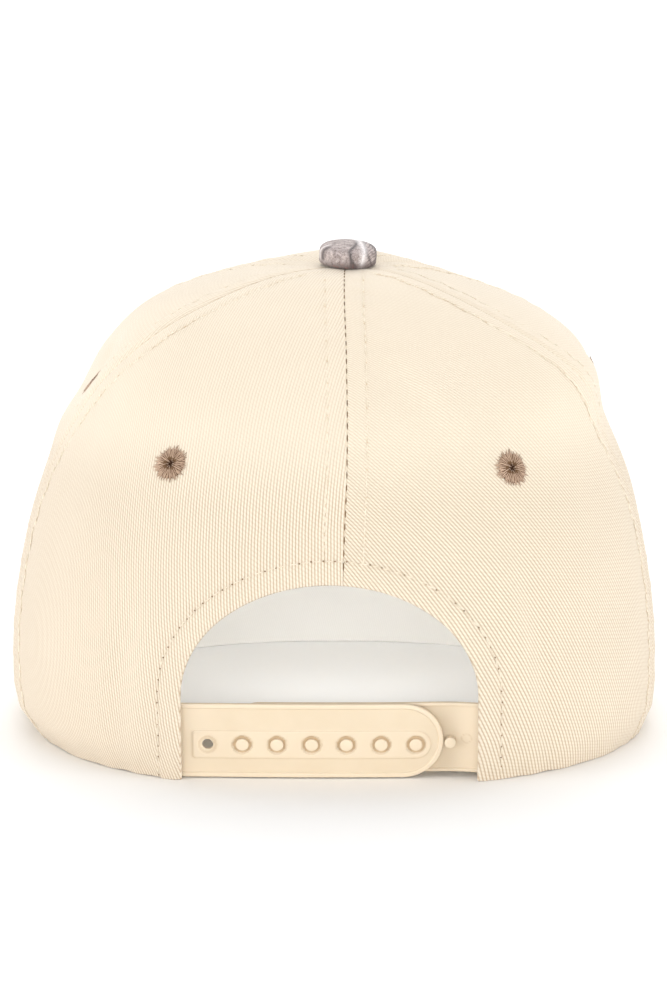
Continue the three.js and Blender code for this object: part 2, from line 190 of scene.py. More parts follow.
# Crown panels
# Cream cotton twill, each panel a wall of cloth whose edges turn in at the seams and hems. The seam
# allowances stand under it as a low ridge, rows of topstitching draw it down, and it ripples between them.
CLOTH = 1.6
EDGE_ROUND = 0.32
EDGE_DEPTH = 0.42
ROW_OFFSET = 5.3
HEM_ROW_OFFSET = 6.4
STITCH_PITCH = 2.6
SEAM_RELIEF = {"ridge": 0.32, "groove": 0.28, "pucker": 0.16}
SEAMS = ("centre", "back left", "front left", "front right", "back right")
ARCH_TOP_ROW = 200
PLAIN_RUN = (-114, 58, 0, 0)
PANELS = (
    # name, from seam, to seam, middle azimuth, points across and up, and the run of the twill
    ("back_panel_left", "centre", "back left", 36, 120, 170, (-122, 10, -1, 9)),
    ("back_panel_right", "back right", "centre", -38, 120, 170, (-99, 42, 8, 14)),
    ("side_panel_left", "back left", "front left", 97, 90, 170, PLAIN_RUN),
    ("side_panel_right", "side right", "back right", -97, 90, 170, PLAIN_RUN),
    ("front_panel", "front left", "front right", 180, 190, 170, PLAIN_RUN),
)
FOLDS = (
    # azimuth and share of the middle, lean from upright in degrees, half sizes and depth in millimetres
    (-14, 0.76, 28, 5.0, 26, -0.9),
    (-24, 0.72, 34, 6.0, 24, 0.6),
    (-33, 0.28, 12, 4.5, 24, 0.9),
    (-37, 0.22, 8, 4.0, 26, -1.0),
    (33, 0.25, -10, 5.0, 24, 0.7),
    (38, 0.20, -6, 4.5, 22, -0.7),
    (12, 0.62, -10, 9.0, 34, -0.5),
    (60, 0.55, 6, 9.0, 40, -0.7),
    (-58, 0.52, -8, 9.0, 40, -0.7),
    (100, 0.40, 4, 12.0, 45, -0.6),
    (-104, 0.42, -4, 12.0, 45, -0.6),
    (85, 0.69, 0, 13.0, 8, -2.4),
    (88, 0.59, 0, 12.0, 9, 1.4),
    (80, 0.725, 0, 6.5, 7, -1.9),
    (-94, 0.735, 0, 12.0, 9, -2.7),
    (-90, 0.54, 0, 13.0, 15, 0.9),
)


def seam_line(name, count=900):
    along = np.linspace(0, PANEL_TOP, count)
    return seam(name, along), along


class Line:
    """A line through points that tells how far off it a point is, and how far along."""

    def __init__(self, points):
        self.points, self.run = points, run_along(points)
        self.tree = KDTree(len(points))
        for i, point in enumerate(points):
            self.tree.insert(point, i)
        self.tree.balance()

    def measure(self, points):
        flat = points.reshape(-1, 3)
        nearest = np.array([self.tree.find(point)[1] for point in flat])
        away = run = np.full(len(flat), 1e9)
        for start in (np.clip(nearest - 1, 0, None), np.clip(nearest, None, len(self.points) - 2)):
            step = self.points[start + 1] - self.points[start]
            share = np.clip(((flat - self.points[start]) * step).sum(-1) / (step**2).sum(-1), 0, 1)
            distance = np.linalg.norm(flat - self.points[start] - share[:, None] * step, axis=-1)
            onward = self.run[start] + share * (self.run[start + 1] - self.run[start])
            run = np.where(distance < away, onward, run)
            away = np.minimum(distance, away)
        return away.reshape(points.shape[:-1]), run.reshape(points.shape[:-1])


SEAM_LINES = [Line(crown_face(*seam_line(name))[ARCH_TOP_ROW if name == "centre" else 0:]) for name in SEAMS]
HEM_LINE = Line(np.concatenate((crown_face(*arch_edge(1, 400)), crown_face(*arch_edge(-1, 400))[-2::-1])))
RIM_LINE = Line(crown_face(np.linspace(0, 360, 1200), np.zeros(1200)))


def bump(x, middle, width):
    return np.exp(-(((x - middle) / width) ** 2))


def along_a_seam(away, run, offset):
    """Relief beside a sewn line: a ridge over the allowance, the topstitching's groove and its puckers."""
    ridge = np.clip((away - 0.5) / 1.2, 0, 1) * np.clip((offset + 1.2 - away) / 1.4, 0, 1)
    groove = bump(away, offset, 0.55) * (1 + 0.35 * np.cos(2 * np.pi * run / STITCH_PITCH))
    pucker = bump(away, offset, 3.5) * np.sin(2 * np.pi * run / 8.3 + 1.3 * np.sin(run / 17))
    return SEAM_RELIEF["ridge"] * ridge - SEAM_RELIEF["groove"] * groove + SEAM_RELIEF["pucker"] * pucker


def folds(points):
    """How far the folds, dents and bulges lift points of the crown's face."""
    total = 0
    for azimuth, along, lean, width, length, depth in FOLDS:
        round_it, up_it = crown_slopes(np.array(float(azimuth)), np.array(float(along)))
        across, up = round_it / np.linalg.norm(round_it), up_it / np.linalg.norm(up_it)
        sine, cosine = math.sin(math.radians(lean)), math.cos(math.radians(lean))
        offset = points - crown_face(azimuth, along)
        wide, long = offset @ (cosine * across - sine * up), offset @ (cosine * up + sine * across)
        total = total + depth * np.exp(-((wide / width) ** 2) - (long / length) ** 2)
    return total


def relief_of(azimuth, along, face):
    """How far the cloth stands out of the crown's smooth face, and how far it is to its nearest edge."""
    relief, edge = 0, 1.6 * CROWN_RADIUS * np.abs(PANEL_TOP - along)
    for line in SEAM_LINES:
        away, run = line.measure(face)
        relief = relief + along_a_seam(away, run, ROW_OFFSET)
        edge = np.minimum(edge, away)
    away, run = HEM_LINE.measure(face)
    relief = relief * np.clip(away / 9, 0, 1) + along_a_seam(away, run, HEM_ROW_OFFSET)
    edge = np.minimum(edge, away)
    away, run = RIM_LINE.measure(face)
    relief = relief + 0.16 * bump(away, 0, 5) * np.sin(run / 2.1 + 2 * np.sin(run / 9))
    edge = np.minimum(edge, away)
    return relief * np.clip((PANEL_TOP - along) / 0.05, 0, 1) + folds(face), edge


def edge_thickness(away, roundness=EDGE_ROUND):
    """Share of the full half thickness, so that a cut or folded edge is round."""
    inside = 1 - np.clip(away, 0, roundness) / roundness
    return np.sqrt(np.clip(1 - inside**2, 0, 1))


def within_border(values):
    """The same grid of values with its border set to nought."""
    inside = np.zeros_like(values)
    inside[1:-1, 1:-1] = values[1:-1, 1:-1]
    return inside


def grid_shell(name, outer, inner, cloth_map, sunk=None):
    """A closed mesh between two grids of points that meet at their edges, with a UV map in metres and,
    where it is given, how far each point of the outer face is sunk."""
    rows, columns = outer.shape[:2]
    count = rows * columns
    number = np.arange(count).reshape(rows, columns)
    quads = np.stack((number[:-1, :-1], number[1:, :-1], number[1:, 1:], number[:-1, 1:]), -1).reshape(-1, 4)
    faces = np.concatenate((quads, quads[:, ::-1] + count))
    mesh = bpy.data.meshes.new(name)
    points = np.concatenate((outer.reshape(-1, 3), inner.reshape(-1, 3)))
    mesh.from_pydata(points.tolist(), [], faces.tolist())
    if sunk is not None:
        depths = np.concatenate((sunk.ravel(), np.zeros(count))).astype(np.float32)
        mesh.attributes.new("sunk", "FLOAT", "POINT").data.foreach_set("value", depths)
    layer = mesh.uv_layers.new(name="cloth")
    corners = np.empty(len(mesh.loops), int)
    mesh.loops.foreach_get("vertex_index", corners)
    layer.data.foreach_set("uv", cloth_map.reshape(-1, 2)[corners % count].astype(np.float32).ravel())
    return closed(name, mesh)


def placed(name, data):
    """An object of the scene, at the origin."""
    made = bpy.data.objects.new(name, data)
    bpy.context.scene.collection.objects.link(made)
    return made


def closed(name, mesh):
    """Merges a mesh's doubled edge points, turns its faces outwards and makes it an object."""
    work = bmesh.new()
    work.from_mesh(mesh)
    bmesh.ops.remove_doubles(work, verts=work.verts, dist=2e-6)
    bmesh.ops.dissolve_degenerate(work, dist=1e-7, edges=work.edges)
    bmesh.ops.recalc_face_normals(work, faces=work.faces)
    work.to_mesh(mesh)
    work.free()
    mesh.shade_smooth()
    return placed(name, mesh)


def back_panel_grid(side, across, up):
    """Azimuths and shares over a back panel, whose lower corner is cut away by the arch.
    The patch is blended from its four sides on a map of the crown seen from above."""
    def flat(line):
        turn = np.radians(line[0])
        return (1 - line[1])[:, None] * np.stack((np.sin(turn), np.cos(turn)), -1)

    name = "back left" if side > 0 else "back right"
    arch = arch_edge(side, up)
    outer = evenly(*seam_line(name), up)
    top = arch[1][-1]
    tip = np.linspace(0, 1, 60)[1:]
    rise = np.linspace(top, PANEL_TOP, 800)
    middle = seam("centre", rise)
    centre = evenly(np.concatenate((middle, middle[-1] + (seam(name, PANEL_TOP) - middle[-1]) * tip)),
                    np.concatenate((rise, np.full(59, PANEL_TOP))), across)
    rim = evenly(np.linspace(arch[0][0], seam(name, 0.0), 400), np.zeros(400), across)
    a, b, c, d = flat(arch)[:, None], flat(outer)[:, None], flat(rim)[None], flat(centre)[None]
    p, q = spaced(up)[:, None, None], spaced(across)[None, :, None]
    patch = ((1 - q) * a + q * b + (1 - p) * c + p * d
             - ((1 - p) * (1 - q) * a[0] + (1 - p) * q * b[0] + p * (1 - q) * a[-1] + p * q * b[-1]))
    azimuth = np.degrees(np.arctan2(patch[..., 0], patch[..., 1]))
    return azimuth, np.clip(1 - np.hypot(patch[..., 0], patch[..., 1]), 0, PANEL_TOP)


def twill_map(across, up, run=PLAIN_RUN, wale=0.78):
    """Where points of cloth lie across its wales and along them, in metres. The run gives the wales that
    100 mm crosses to the right and upwards, and how the second number changes to the right and upwards."""
    sideways, upwards, turn, bend = run
    crossed = (sideways * across + upwards * up) / 100 + (turn * across * up + bend * up**2) / 10000
    lean = math.atan2(upwards, -sideways)
    return np.stack((crossed * wale, across * math.sin(lean) + up * math.cos(lean)), -1) * MM


def panel(name, start, end, middle, across, up, run):
    if name.startswith("back"):
        azimuth, along = back_panel_grid(1 if name.endswith("left") else -1, across, up)
    else:
        u, v = np.meshgrid(spaced(across), spaced(up) * PANEL_TOP)
        azimuth, along = seam(start, v) * (1 - u) + seam(end, v) * u, v
    face = crown_face(azimuth, along)
    relief, edge = relief_of(azimuth, along, face)
    full = within_border(edge_thickness(edge))
    outer = crown(azimuth, along, relief - EDGE_DEPTH * (1 - full))
    inner = crown(azimuth, along, (1 - 0.5 * full) * relief - EDGE_DEPTH - (CLOTH - EDGE_DEPTH) * full)
    inner = np.where((full < 1e-4)[..., None], outer, inner)
    floor = np.minimum(outer[..., 2].min(), 0)
    outer[..., 2] -= floor
    inner[..., 2] = np.clip(inner[..., 2], 0, None)
    up_run = np.interp(along, *panel_length(middle))
    width = np.radians(azimuth - middle) * np.linalg.norm(face[..., :2] + (LEAN, 0), axis=-1)
    return grid_shell(name + "_cloth", outer, inner, twill_map(width, up_run, run))


def panel_length(middle):
    """The length of cloth up a panel's middle, against the share of the way up."""
    along = np.linspace(0, 1, 300)[:-1]
    return along, run_along(crown_face(np.full(299, float(middle)), along))


class Nodes:
    """A node tree that is written as expressions."""

    def node(self, kind, *sockets, output=0, at=(), **named):
        """A new node's output. A name in lower case is a setting and any other is a socket; sockets are
        also given in their order, or in at by their numbers."""
        made = self.tree.nodes.new(kind)
        given = {**dict(enumerate(sockets)), **dict(at)}
        for name, value in named.items():
            if name.islower():
                setattr(made, name, value)
            else:
                given[name.replace("_", " ")] = value
        for socket, value in given.items():
            self.put(made.inputs[socket], value)
        return Value(self, made.outputs[output])

    def put(self, socket, value):
        if isinstance(value, Value):
            self.tree.links.new(value.socket, socket)
        else:
            socket.default_value = value


class Finish(Nodes):
    """A material and its shader."""

    def __init__(self, name):
        self.material = bpy.data.materials.new(name)
        self.material.use_nodes = True
        self.tree = self.material.node_tree
        self.tree.nodes.clear()
        self.shader = self.tree.nodes.new("ShaderNodeBsdfPrincipled")
        output = self.tree.nodes.new("ShaderNodeOutputMaterial")
        self.tree.links.new(self.shader.outputs[0], output.inputs[0])

    def set(self, **values):
        for name, value in values.items():
            self.put(self.shader.inputs[name.replace("_", " ")], value)

    def raise_by(self, height, strength, distance):
        """Bump from a height of 0 to 1 that stands for so many metres."""
        self.set(Normal=self.node("ShaderNodeBump", Strength=strength, Distance=distance, Height=height))

    def place(self):
        return self.node("ShaderNodeTexCoord", output="Object")

    def noise(self, place, scale, detail=2, flat=False):
        return self.node("ShaderNodeTexNoise", noise_dimensions="2D" if flat else "3D",
                         Vector=place, Scale=scale, Detail=detail)

    def attribute(self, name):
        return self.node("ShaderNodeAttribute", attribute_name=name, output="Fac")


def sign(operation, swapped=False):
    """An arithmetic sign between a value and another term."""
    def join(self, other):
        terms = (other, self) if swapped else (self, other)
        return self.nodes.node("ShaderNodeMath", *terms, operation=operation)
    return join


class Value:
    """A socket of a tree; arithmetic on it adds Math nodes."""

    __add__ = __radd__ = sign("ADD")
    __mul__ = __rmul__ = sign("MULTIPLY")
    __sub__, __rsub__ = sign("SUBTRACT"), sign("SUBTRACT", swapped=True)
    __truediv__, __pow__ = sign("DIVIDE"), sign("POWER")

    def __init__(self, nodes, socket):
        self.nodes, self.socket = nodes, socket

    def sine(self):
        return self.nodes.node("ShaderNodeMath", self, operation="SINE")

    def size(self):
        return self.nodes.node("ShaderNodeMath", self, operation="ABSOLUTE")

    def clamp(self):
        return self.nodes.node("ShaderNodeClamp", self)

    def step(self, low, high):
        return self.nodes.node("ShaderNodeMapRange", interpolation_type="SMOOTHSTEP",
                               Value=self, From_Min=low, From_Max=high)

    def parts(self):
        """The numbers that a vector is made of."""
        outputs = self.nodes.node("ShaderNodeSeparateXYZ", self).socket.node.outputs
        return [Value(self.nodes, socket) for socket in outputs]

    def between(self, first, second):
        """A colour from first to second as this value goes from 0 to 1."""
        first, second = (end if isinstance(end, Value) else (*end, 1) for end in (first, second))
        return self.nodes.node("ShaderNodeMix", data_type="RGBA", Factor=self,
                               at={6: first, 7: second}, output=2)


def srgb(*channels):
    """A colour as it is read off a screen, from 0 to 255, as the renderer wants it."""
    return tuple(((c / 255 + 0.055) / 1.055) ** 2.4 for c in channels)


def twill(name, groove, ridge, wale=0.00078, depth=0.00022, flat_top_light=0.55):
    """Cotton twill: slanting wales of rounded floats with narrow grooves between them, which take the darker
    groove colour as painted shade. Over the top of the crown the grooves show less, in colour and in bump, by
    the last argument's share: painted flat light where the light falls square on the cloth."""
    finish = Finish(name)
    cloth = finish.node("ShaderNodeUVMap", uv_map="cloth")
    crossed, onward, _ = cloth.parts()
    # Painted flat light: over the top of the crown the grooves' painted shade and their bump fade.
    clear = 1 - finish.place().parts()[2].step(0.072, 0.094) * flat_top_light
    slack = finish.noise(cloth, 70, flat=True)
    wales = crossed / wale + (slack - 0.5) * 0.45
    floats = onward * (0.62 / wale) + wales * 0.5
    swell = (wales * math.pi).sine().size() ** 0.7
    nubs = (floats * math.pi).sine().size() ** 0.8
    lint = finish.noise(cloth, 2600, 3, flat=True)
    height = (swell * (0.72 + 0.28 * nubs) - 0.84) * clear + 0.84 + lint * 0.12
    # Painted shade: the grooves take the groove colour and the floats' tops the ridge colour.
    shade = (height * 0.95 + lint * 0.1).clamp()
    tone = finish.noise(cloth, 34, 3, flat=True)
    worn = (tone.step(0.3, 0.7) * 0.35).between(ridge, tuple(c * 0.94 for c in ridge))
    finish.set(Base_Color=shade.between(groove, worn), Roughness=0.92 - 0.1 * swell,
               Specular_IOR_Level=0.25, Sheen_Weight=0.25, Sheen_Roughness=0.45)
    finish.raise_by(height, 0.75, depth)
    return finish.material


# The groove colour here is painted shade in the twill's grooves.
CREAM_TWILL = twill("cream_twill_weave", srgb(180, 148, 112), srgb(235, 224, 205))
for panel_row in PANELS:
    cloth_panel = panel(*panel_row)
    cloth_panel.data.materials.append(CREAM_TWILL)
    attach(cloth_panel, "root")
    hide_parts(panel_row[0])

# Topstitching
# Cotton thread the colour of the cloth: a row at either side of each seam and one round the back opening,
# every stitch sunk between two needle holes that are painted shade, as flat darker specks. Dark brown dashes
# sunk in the centre seam's ditch are painted shadow of the ditch and its needle holes, and cream thread fills
# it and the back side seams'.
class Making(Nodes):
    """A geometry tree with named inputs."""

    def __init__(self, name, materials, **sizes):
        self.tree = bpy.data.node_groups.new(name, "GeometryNodeTree")
        made = self.tree.interface.new_socket
        made("Geometry", in_out="INPUT", socket_type="NodeSocketGeometry")
        for material in materials:
            made(material, in_out="INPUT", socket_type="NodeSocketMaterial")
        for size, value in sizes.items():
            kind = "NodeSocketInt" if isinstance(value, int) else "NodeSocketFloat"
            made(size, in_out="INPUT", socket_type=kind).default_value = value
        made("Geometry", in_out="OUTPUT", socket_type="NodeSocketGeometry")
        self.start = self.tree.nodes.new("NodeGroupInput")
        self.end = self.tree.nodes.new("NodeGroupOutput")

    def given(self, name):
        return Value(self, self.start.outputs[name])

    def vector(self, x, y, z):
        return self.node("ShaderNodeCombineXYZ", x, y, z)

    def chance(self, low, high, seed):
        return self.node("FunctionNodeRandomValue", data_type="FLOAT", Seed=seed,
                         at={2: low, 3: high}, output=1)

    def facings(self):
        """The ways out of the cloth that the path's points carry."""
        return self.node("GeometryNodeInputNamedAttribute", data_type="FLOAT_VECTOR", Name="facing")

    def grain(self, length, width, height, material, shift=0.0, rise=0.0, rings=5):
        """A small ball drawn out to a length, width and height, moved along itself and up."""
        ball = self.node("GeometryNodeMeshUVSphere", Segments=6, Rings=rings, Radius=0.5)
        ball = self.node("GeometryNodeTransform", Geometry=ball, Scale=self.vector(length, width, height),
                         Translation=self.vector(shift, 0, rise))
        return self.node("GeometryNodeSetMaterial", Geometry=ball, Material=material)

    def facing(self, out, onward):
        """A rotation whose third axis points out and whose first runs onward."""
        return self.node("FunctionNodeAxesToRotation", primary_axis="Z", secondary_axis="X",
                         Primary_Axis=out, Secondary_Axis=onward)

    def turned(self, rotation, angle):
        turn = self.node("FunctionNodeAxisAngleToRotation", Axis=(0, 0, 1), Angle=angle)
        return self.node("FunctionNodeRotateRotation", rotation_space="LOCAL",
                         Rotation=rotation, Rotate_By=turn)

    def put_on(self, points, instance, rotation, scale):
        spread = self.node("GeometryNodeInstanceOnPoints", Points=points, Instance=instance,
                           Rotation=rotation, Scale=scale)
        return self.node("GeometryNodeStoreNamedAttribute", data_type="FLOAT", domain="INSTANCE",
                         Geometry=spread, Name="tone", Value=self.chance(0.0, 1.0, 5))

    def join(self, *parts):
        joined = self.tree.nodes.new("GeometryNodeJoinGeometry")
        for part in reversed(parts):
            self.tree.links.new(part.socket, joined.inputs[0])
        return Value(self, joined.outputs[0])

    def finish(self, geometry):
        real = self.node("GeometryNodeRealizeInstances", Geometry=geometry)
        self.put(self.end.inputs[0], self.node("GeometryNodeSetShadeSmooth", Geometry=real))

    def make(self, name, path, **inputs):
        """Runs the tree on a mesh and leaves a plain mesh object."""
        guide = placed(name + "_guide", path)
        modifier = guide.modifiers.new("making", "NODES")
        modifier.node_group = self.tree
        for socket in self.tree.interface.items_tree:
            if socket.name in inputs:
                modifier[socket.identifier] = inputs[socket.name]
        mesh = baked(guide)
        guide.modifiers.remove(modifier)
        bpy.data.objects.remove(guide)
        mesh.name = name
        return placed(name, mesh)


def baked(piece):
    """A plain mesh of a piece as its modifiers make it."""
    return bpy.data.meshes.new_from_object(piece.evaluated_get(bpy.context.evaluated_depsgraph_get()))


def path_mesh(name, lines):
    """A mesh of open lines, each given as its points in metres and the ways out of the cloth there."""
    points = np.concatenate([points for points, _ in lines])
    facings = np.concatenate([facing for _, facing in lines])
    edges, first = [], 0
    for line, _ in lines:
        edges += [(i, i + 1) for i in range(first, first + len(line) - 1)]
        first += len(line)
    mesh = bpy.data.meshes.new(name)
    mesh.from_pydata(points.tolist(), edges, [])
    facing = mesh.attributes.new("facing", "FLOAT_VECTOR", "POINT")
    facing.data.foreach_set("vector", facings.astype(np.float32).ravel())
    return mesh


sewing = Making("sewing", ("Thread", "Hole"), Pitch=STITCH_PITCH * MM, Length=2.3 * MM, Width=0.42 * MM,
                Height=0.34 * MM, Needle=0.44 * MM, Wander=0.06)
sizes = ("Length", "Width", "Height", "Needle", "Pitch")
length, width, height, needle, pitch = (sewing.given(size) for size in sizes)
row = sewing.node("GeometryNodeMeshToCurve", Mesh=sewing.given("Geometry"))
row = sewing.node("GeometryNodeResampleCurve", mode="LENGTH", Curve=row, Length=pitch)
# Each stitch has a flat speck behind it in the Hole finish: painted shade that stands for its needle hole.
stitch = sewing.join(
    sewing.grain(length, width, height, sewing.given("Thread"), rise=height * 0.12),
    sewing.grain(needle, needle, needle * 0.3, sewing.given("Hole"), shift=pitch * -0.5, rings=3))
way = sewing.facing(sewing.facings(), sewing.node("GeometryNodeInputTangent"))
way = sewing.turned(way, sewing.chance(-1.0, 1.0, 3) * sewing.given("Wander"))
sewing.finish(sewing.put_on(row, stitch, way, sewing.vector(sewing.chance(0.92, 1.06, 4), 1.0, 1.0)))


def thread(name, dark, light, roughness=0.7):
    """Twisted thread, each stitch a little lighter or darker than the next."""
    finish = Finish(name)
    twist = finish.noise(finish.place(), 5200, 1)
    tone = (finish.attribute("tone") * 0.6 + twist * 0.5).clamp()
    finish.set(Base_Color=tone.between(dark, light), Roughness=roughness,
               Specular_IOR_Level=0.3, Sheen_Weight=0.2)
    finish.raise_by(twist, 0.5, 0.00006)
    return finish.material


CREAM_THREAD = thread("cream_thread", srgb(220, 206, 182), srgb(238, 228, 210))
# Dark brown for the painted shadow dashes in the centre seam's ditch.
DITCH_SHADOW = thread("ditch_shadow_dashes", srgb(76, 54, 28), srgb(130, 100, 64))
# Needle holes as painted shade: flat specks darker than the thread, darkest round the back opening's hem.
NEEDLE_HOLE_SHADE = thread("needle_hole_painted_shade", srgb(206, 182, 150), srgb(230, 210, 180), 0.95)
HEM_HOLE_SHADE = thread("hem_hole_painted_shade", srgb(98, 76, 50), srgb(160, 130, 98), 0.95)


def beside(azimuth, along, offset):
    """A line on the crown some millimetres to the right of another, as seen from outside looking along it."""
    points = crown_face(azimuth, along)
    tangent = np.gradient(points, axis=0)
    tangent /= np.linalg.norm(tangent, axis=-1, keepdims=True)
    target = points + offset * np.cross(tangent, crown_normal(azimuth, along))
    for _ in range(5):
        miss = target - crown_face(azimuth, along)
        round_it, up_it = crown_slopes(azimuth, along)
        a, b, c = (round_it**2).sum(-1), (round_it * up_it).sum(-1), (up_it**2).sum(-1)
        p, q = (round_it * miss).sum(-1), (up_it * miss).sum(-1)
        azimuth = azimuth + (c * p - b * q) / (a * c - b * b)
        along = np.clip(along + (a * q - b * p) / (a * c - b * b), 0, 0.995)
    return azimuth, along


def sewn_line(azimuth, along, rise=0.0, count=400):
    """Points and ways out for a row that lies on the finished cloth."""
    azimuth, along = evenly(azimuth, along, count)
    relief, _ = relief_of(azimuth, along, crown_face(azimuth, along))
    return crown(azimuth, along, relief + rise), crown_normal(azimuth, along)


STITCH_START, STITCH_STOP = 0.012, 0.952
CENTRE_START, DITCH_STOP = 0.43, 0.975
rows = []
for name in SEAMS:
    along = np.linspace(CENTRE_START if name == "centre" else STITCH_START, STITCH_STOP, 300)
    for side in (1, -1):
        azimuth_row, along_row = beside(seam(name, along), along, side * ROW_OFFSET)
        clear = along_row > STITCH_START
        if name == "centre":
            away, _ = HEM_LINE.measure(crown_face(azimuth_row, along_row))
            clear &= away > HEM_ROW_OFFSET + 0.8
        rows.append(sewn_line(azimuth_row[clear], along_row[clear], 0.05))
topstitching = sewing.make("topstitching", path_mesh("topstitching_rows", rows),
                           Thread=CREAM_THREAD, Hole=NEEDLE_HOLE_SHADE)
left, right = arch_edge(1, 300), arch_edge(-1, 300)
hem = [np.concatenate((a, b[::-1][1:])) for a, b in zip(left, right)]
azimuth_row, along_row = beside(hem[0], hem[1], -HEM_ROW_OFFSET)
clear = along_row > 2 * STITCH_START
hem_row = sewn_line(azimuth_row[clear], along_row[clear], 0.12, 600)
hem_stitching = sewing.make("hem_stitching", path_mesh("hem_row", [hem_row]), Thread=CREAM_THREAD,
                            Hole=HEM_HOLE_SHADE, Pitch=3.2 * MM, Length=2.5 * MM, Width=0.34 * MM, Needle=0.55 * MM)
along = np.linspace(CENTRE_START, DITCH_STOP, 300)
# Painted shadow: dark brown dashes sunk in the centre seam's ditch, standing for its shade and needle holes.
ditch_shadow_row = sewn_line(seam("centre", along), along, -0.22)
centre_ditch_shadow = sewing.make("centre_ditch_shadow", path_mesh("centre_ditch", [ditch_shadow_row]), Thread=DITCH_SHADOW,
                             Hole=DITCH_SHADOW, Pitch=3.5 * MM, Width=0.54 * MM, Height=0.36 * MM,
                             Needle=0.12 * MM)
ditch_rows = [sewn_line(seam("centre", along), along, -0.4)]
along = np.linspace(2 * STITCH_START, DITCH_STOP, 400)
ditch_rows += [sewn_line(seam(name, along), along, -0.35) for name in ("back left", "back right")]
seam_ditch = sewing.make("seam_ditch", path_mesh("seam_filling", ditch_rows), Thread=CREAM_THREAD,
                         Hole=CREAM_THREAD, Pitch=1.2 * MM, Length=1.5 * MM, Width=0.6 * MM, Height=0.4 * MM,
                         Needle=0.12 * MM)
for piece in (topstitching, hem_stitching, centre_ditch_shadow, seam_ditch):
    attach(piece, "root")

# Eyelets
# Four sewn vent holes: brown thread laid round the hole in a ragged rosette, over a bed of the same thread
# that runs through the cloth to a smaller rosette inside. The bed's colour is painted shade: it closes the
# hole, is darker than the thread and darkens further towards its middle.
EYELETS = (
    # name, azimuth, share of the way up, and how far its face is turned to the back
    ("eyelet_back_left", 34.3, 0.593, 0.0),
    ("eyelet_back_right", -36.5, 0.583, 0.0),
    ("eyelet_side_left", 80.0, 0.684, 0.07),
    ("eyelet_side_right", -98.0, 0.660, 0.0),
)
BACK_FLANGE = 3.9


def turned(name, profile, spots, sides):
    """A closed form turned from a profile of radii and heights in millimetres, at each spot, as its place
    in metres and its axis. Every point keeps its radius, for the finish."""
    angle = np.linspace(0, 2 * np.pi, sides, endpoint=False)
    radius, height = np.array(profile, float).T
    rings = np.stack((radius[:, None] * np.cos(angle), radius[:, None] * np.sin(angle),
                      height[:, None] + 0 * angle), -1).reshape(-1, 3) * MM
    number = np.arange(len(rings)).reshape(-1, sides)
    onward = np.roll(number, -1, axis=1)
    quads = np.stack((number[:-1], onward[:-1], onward[1:], number[1:]), -1).reshape(-1, 4)
    points, faces = [], []
    for place, axis in spots:
        turn = Vector((0, 0, 1)).rotation_difference(Vector(axis)).to_matrix()
        faces += (quads + len(points)).tolist()
        points += (rings @ np.array(turn).T + np.array(place)).tolist()
    mesh = bpy.data.meshes.new(name)
    mesh.from_pydata(points, [], faces)
    radii = np.tile(np.repeat(radius, sides), len(spots))
    mesh.attributes.new("radius", "FLOAT", "POINT").data.foreach_set("value", radii.astype(np.float32))
    return closed(name, mesh)


rosette = Making("rosette", ("Thread",), Threads=54, Hole=1.0 * MM, Flange=5.15 * MM, Width=0.42 * MM,
                 Height=0.5 * MM, Ragged=0.19)
inner, outer = rosette.given("Hole"), rosette.given("Flange")
layers = []
for share, seed, spread, lift in ((1.0, 11, 1.0, 0.05), (0.62, 23, 0.86, 0.22)):
    ring = rosette.node("GeometryNodeMeshCircle", Vertices=rosette.given("Threads") * share,
                        Radius=(inner + outer) * 0.5 * spread)
    place = rosette.node("GeometryNodeInputPosition")
    slip = rosette.node("ShaderNodeVectorMath", place, operation="SCALE",
                        Scale=rosette.chance(-0.12, 0.12, seed))
    ring = rosette.node("GeometryNodeSetPosition", Geometry=ring, Offset=slip)
    strand = rosette.grain(outer - inner, rosette.given("Width"), rosette.given("Height"),
                           rosette.given("Thread"), rings=6)
    aim = rosette.turned(rosette.facing((0, 0, 1), place), rosette.chance(-0.16, 0.16, seed + 1))
    stretch = rosette.chance(0.9, 1.1, seed + 2)
    stretch = stretch + rosette.chance(-1.0, 1.0, seed + 3) * rosette.given("Ragged")
    layer = rosette.put_on(ring, strand, aim,
                           rosette.vector(stretch * spread, 1.0, rosette.chance(0.7, 1.15, seed + 4)))
    layers.append(rosette.node("GeometryNodeTransform", Geometry=layer, Translation=(0, 0, lift * MM)))
spot = rosette.node("GeometryNodeMeshToPoints", Mesh=rosette.given("Geometry"))
way = rosette.turned(rosette.facing(rosette.facings(), (0, 0, 1)), rosette.chance(0.0, 6.28, 2))
rosette.finish(rosette.node("GeometryNodeInstanceOnPoints", Points=spot, Instance=rosette.join(*layers),
                            Rotation=way))

BROWN_THREAD = thread("eyelet_thread", srgb(138, 112, 92), srgb(205, 176, 151), 0.6)
# Painted shade: the bed closing each hole is dark brown, darkest at its middle.
bed_shade_finish = Finish("eyelet_bed_painted_shade")
bed_grain = bed_shade_finish.noise(bed_shade_finish.place(), 2600, 3)
bed_hole_shade = (bed_shade_finish.attribute("radius") + (bed_grain - 0.5) * 0.9).step(0.5, 1.7)
bed_shade_finish.set(Base_Color=bed_hole_shade.between(srgb(56, 34, 18), srgb(106, 80, 58)), Roughness=0.85,
               Specular_IOR_Level=0.2)
bed_shade_finish.raise_by(bed_grain, 0.8, 0.0003)
BED_PROFILE = (
    # radius and height in millimetres, from the dished middle over the flange and through the cloth
    (0, 0.02), (0.5, 0.06), (0.95, 0.3), (1.5, 0.42), (2.6, 0.36), (3.7, 0.18), (4.2, -0.02), (4.15, -0.2),
    (2.6, -0.25), (2.6, -1.5), (3.5, -1.55), (3.6, -1.75), (2.2, -1.95), (1.0, -1.85), (0, -1.6),
)

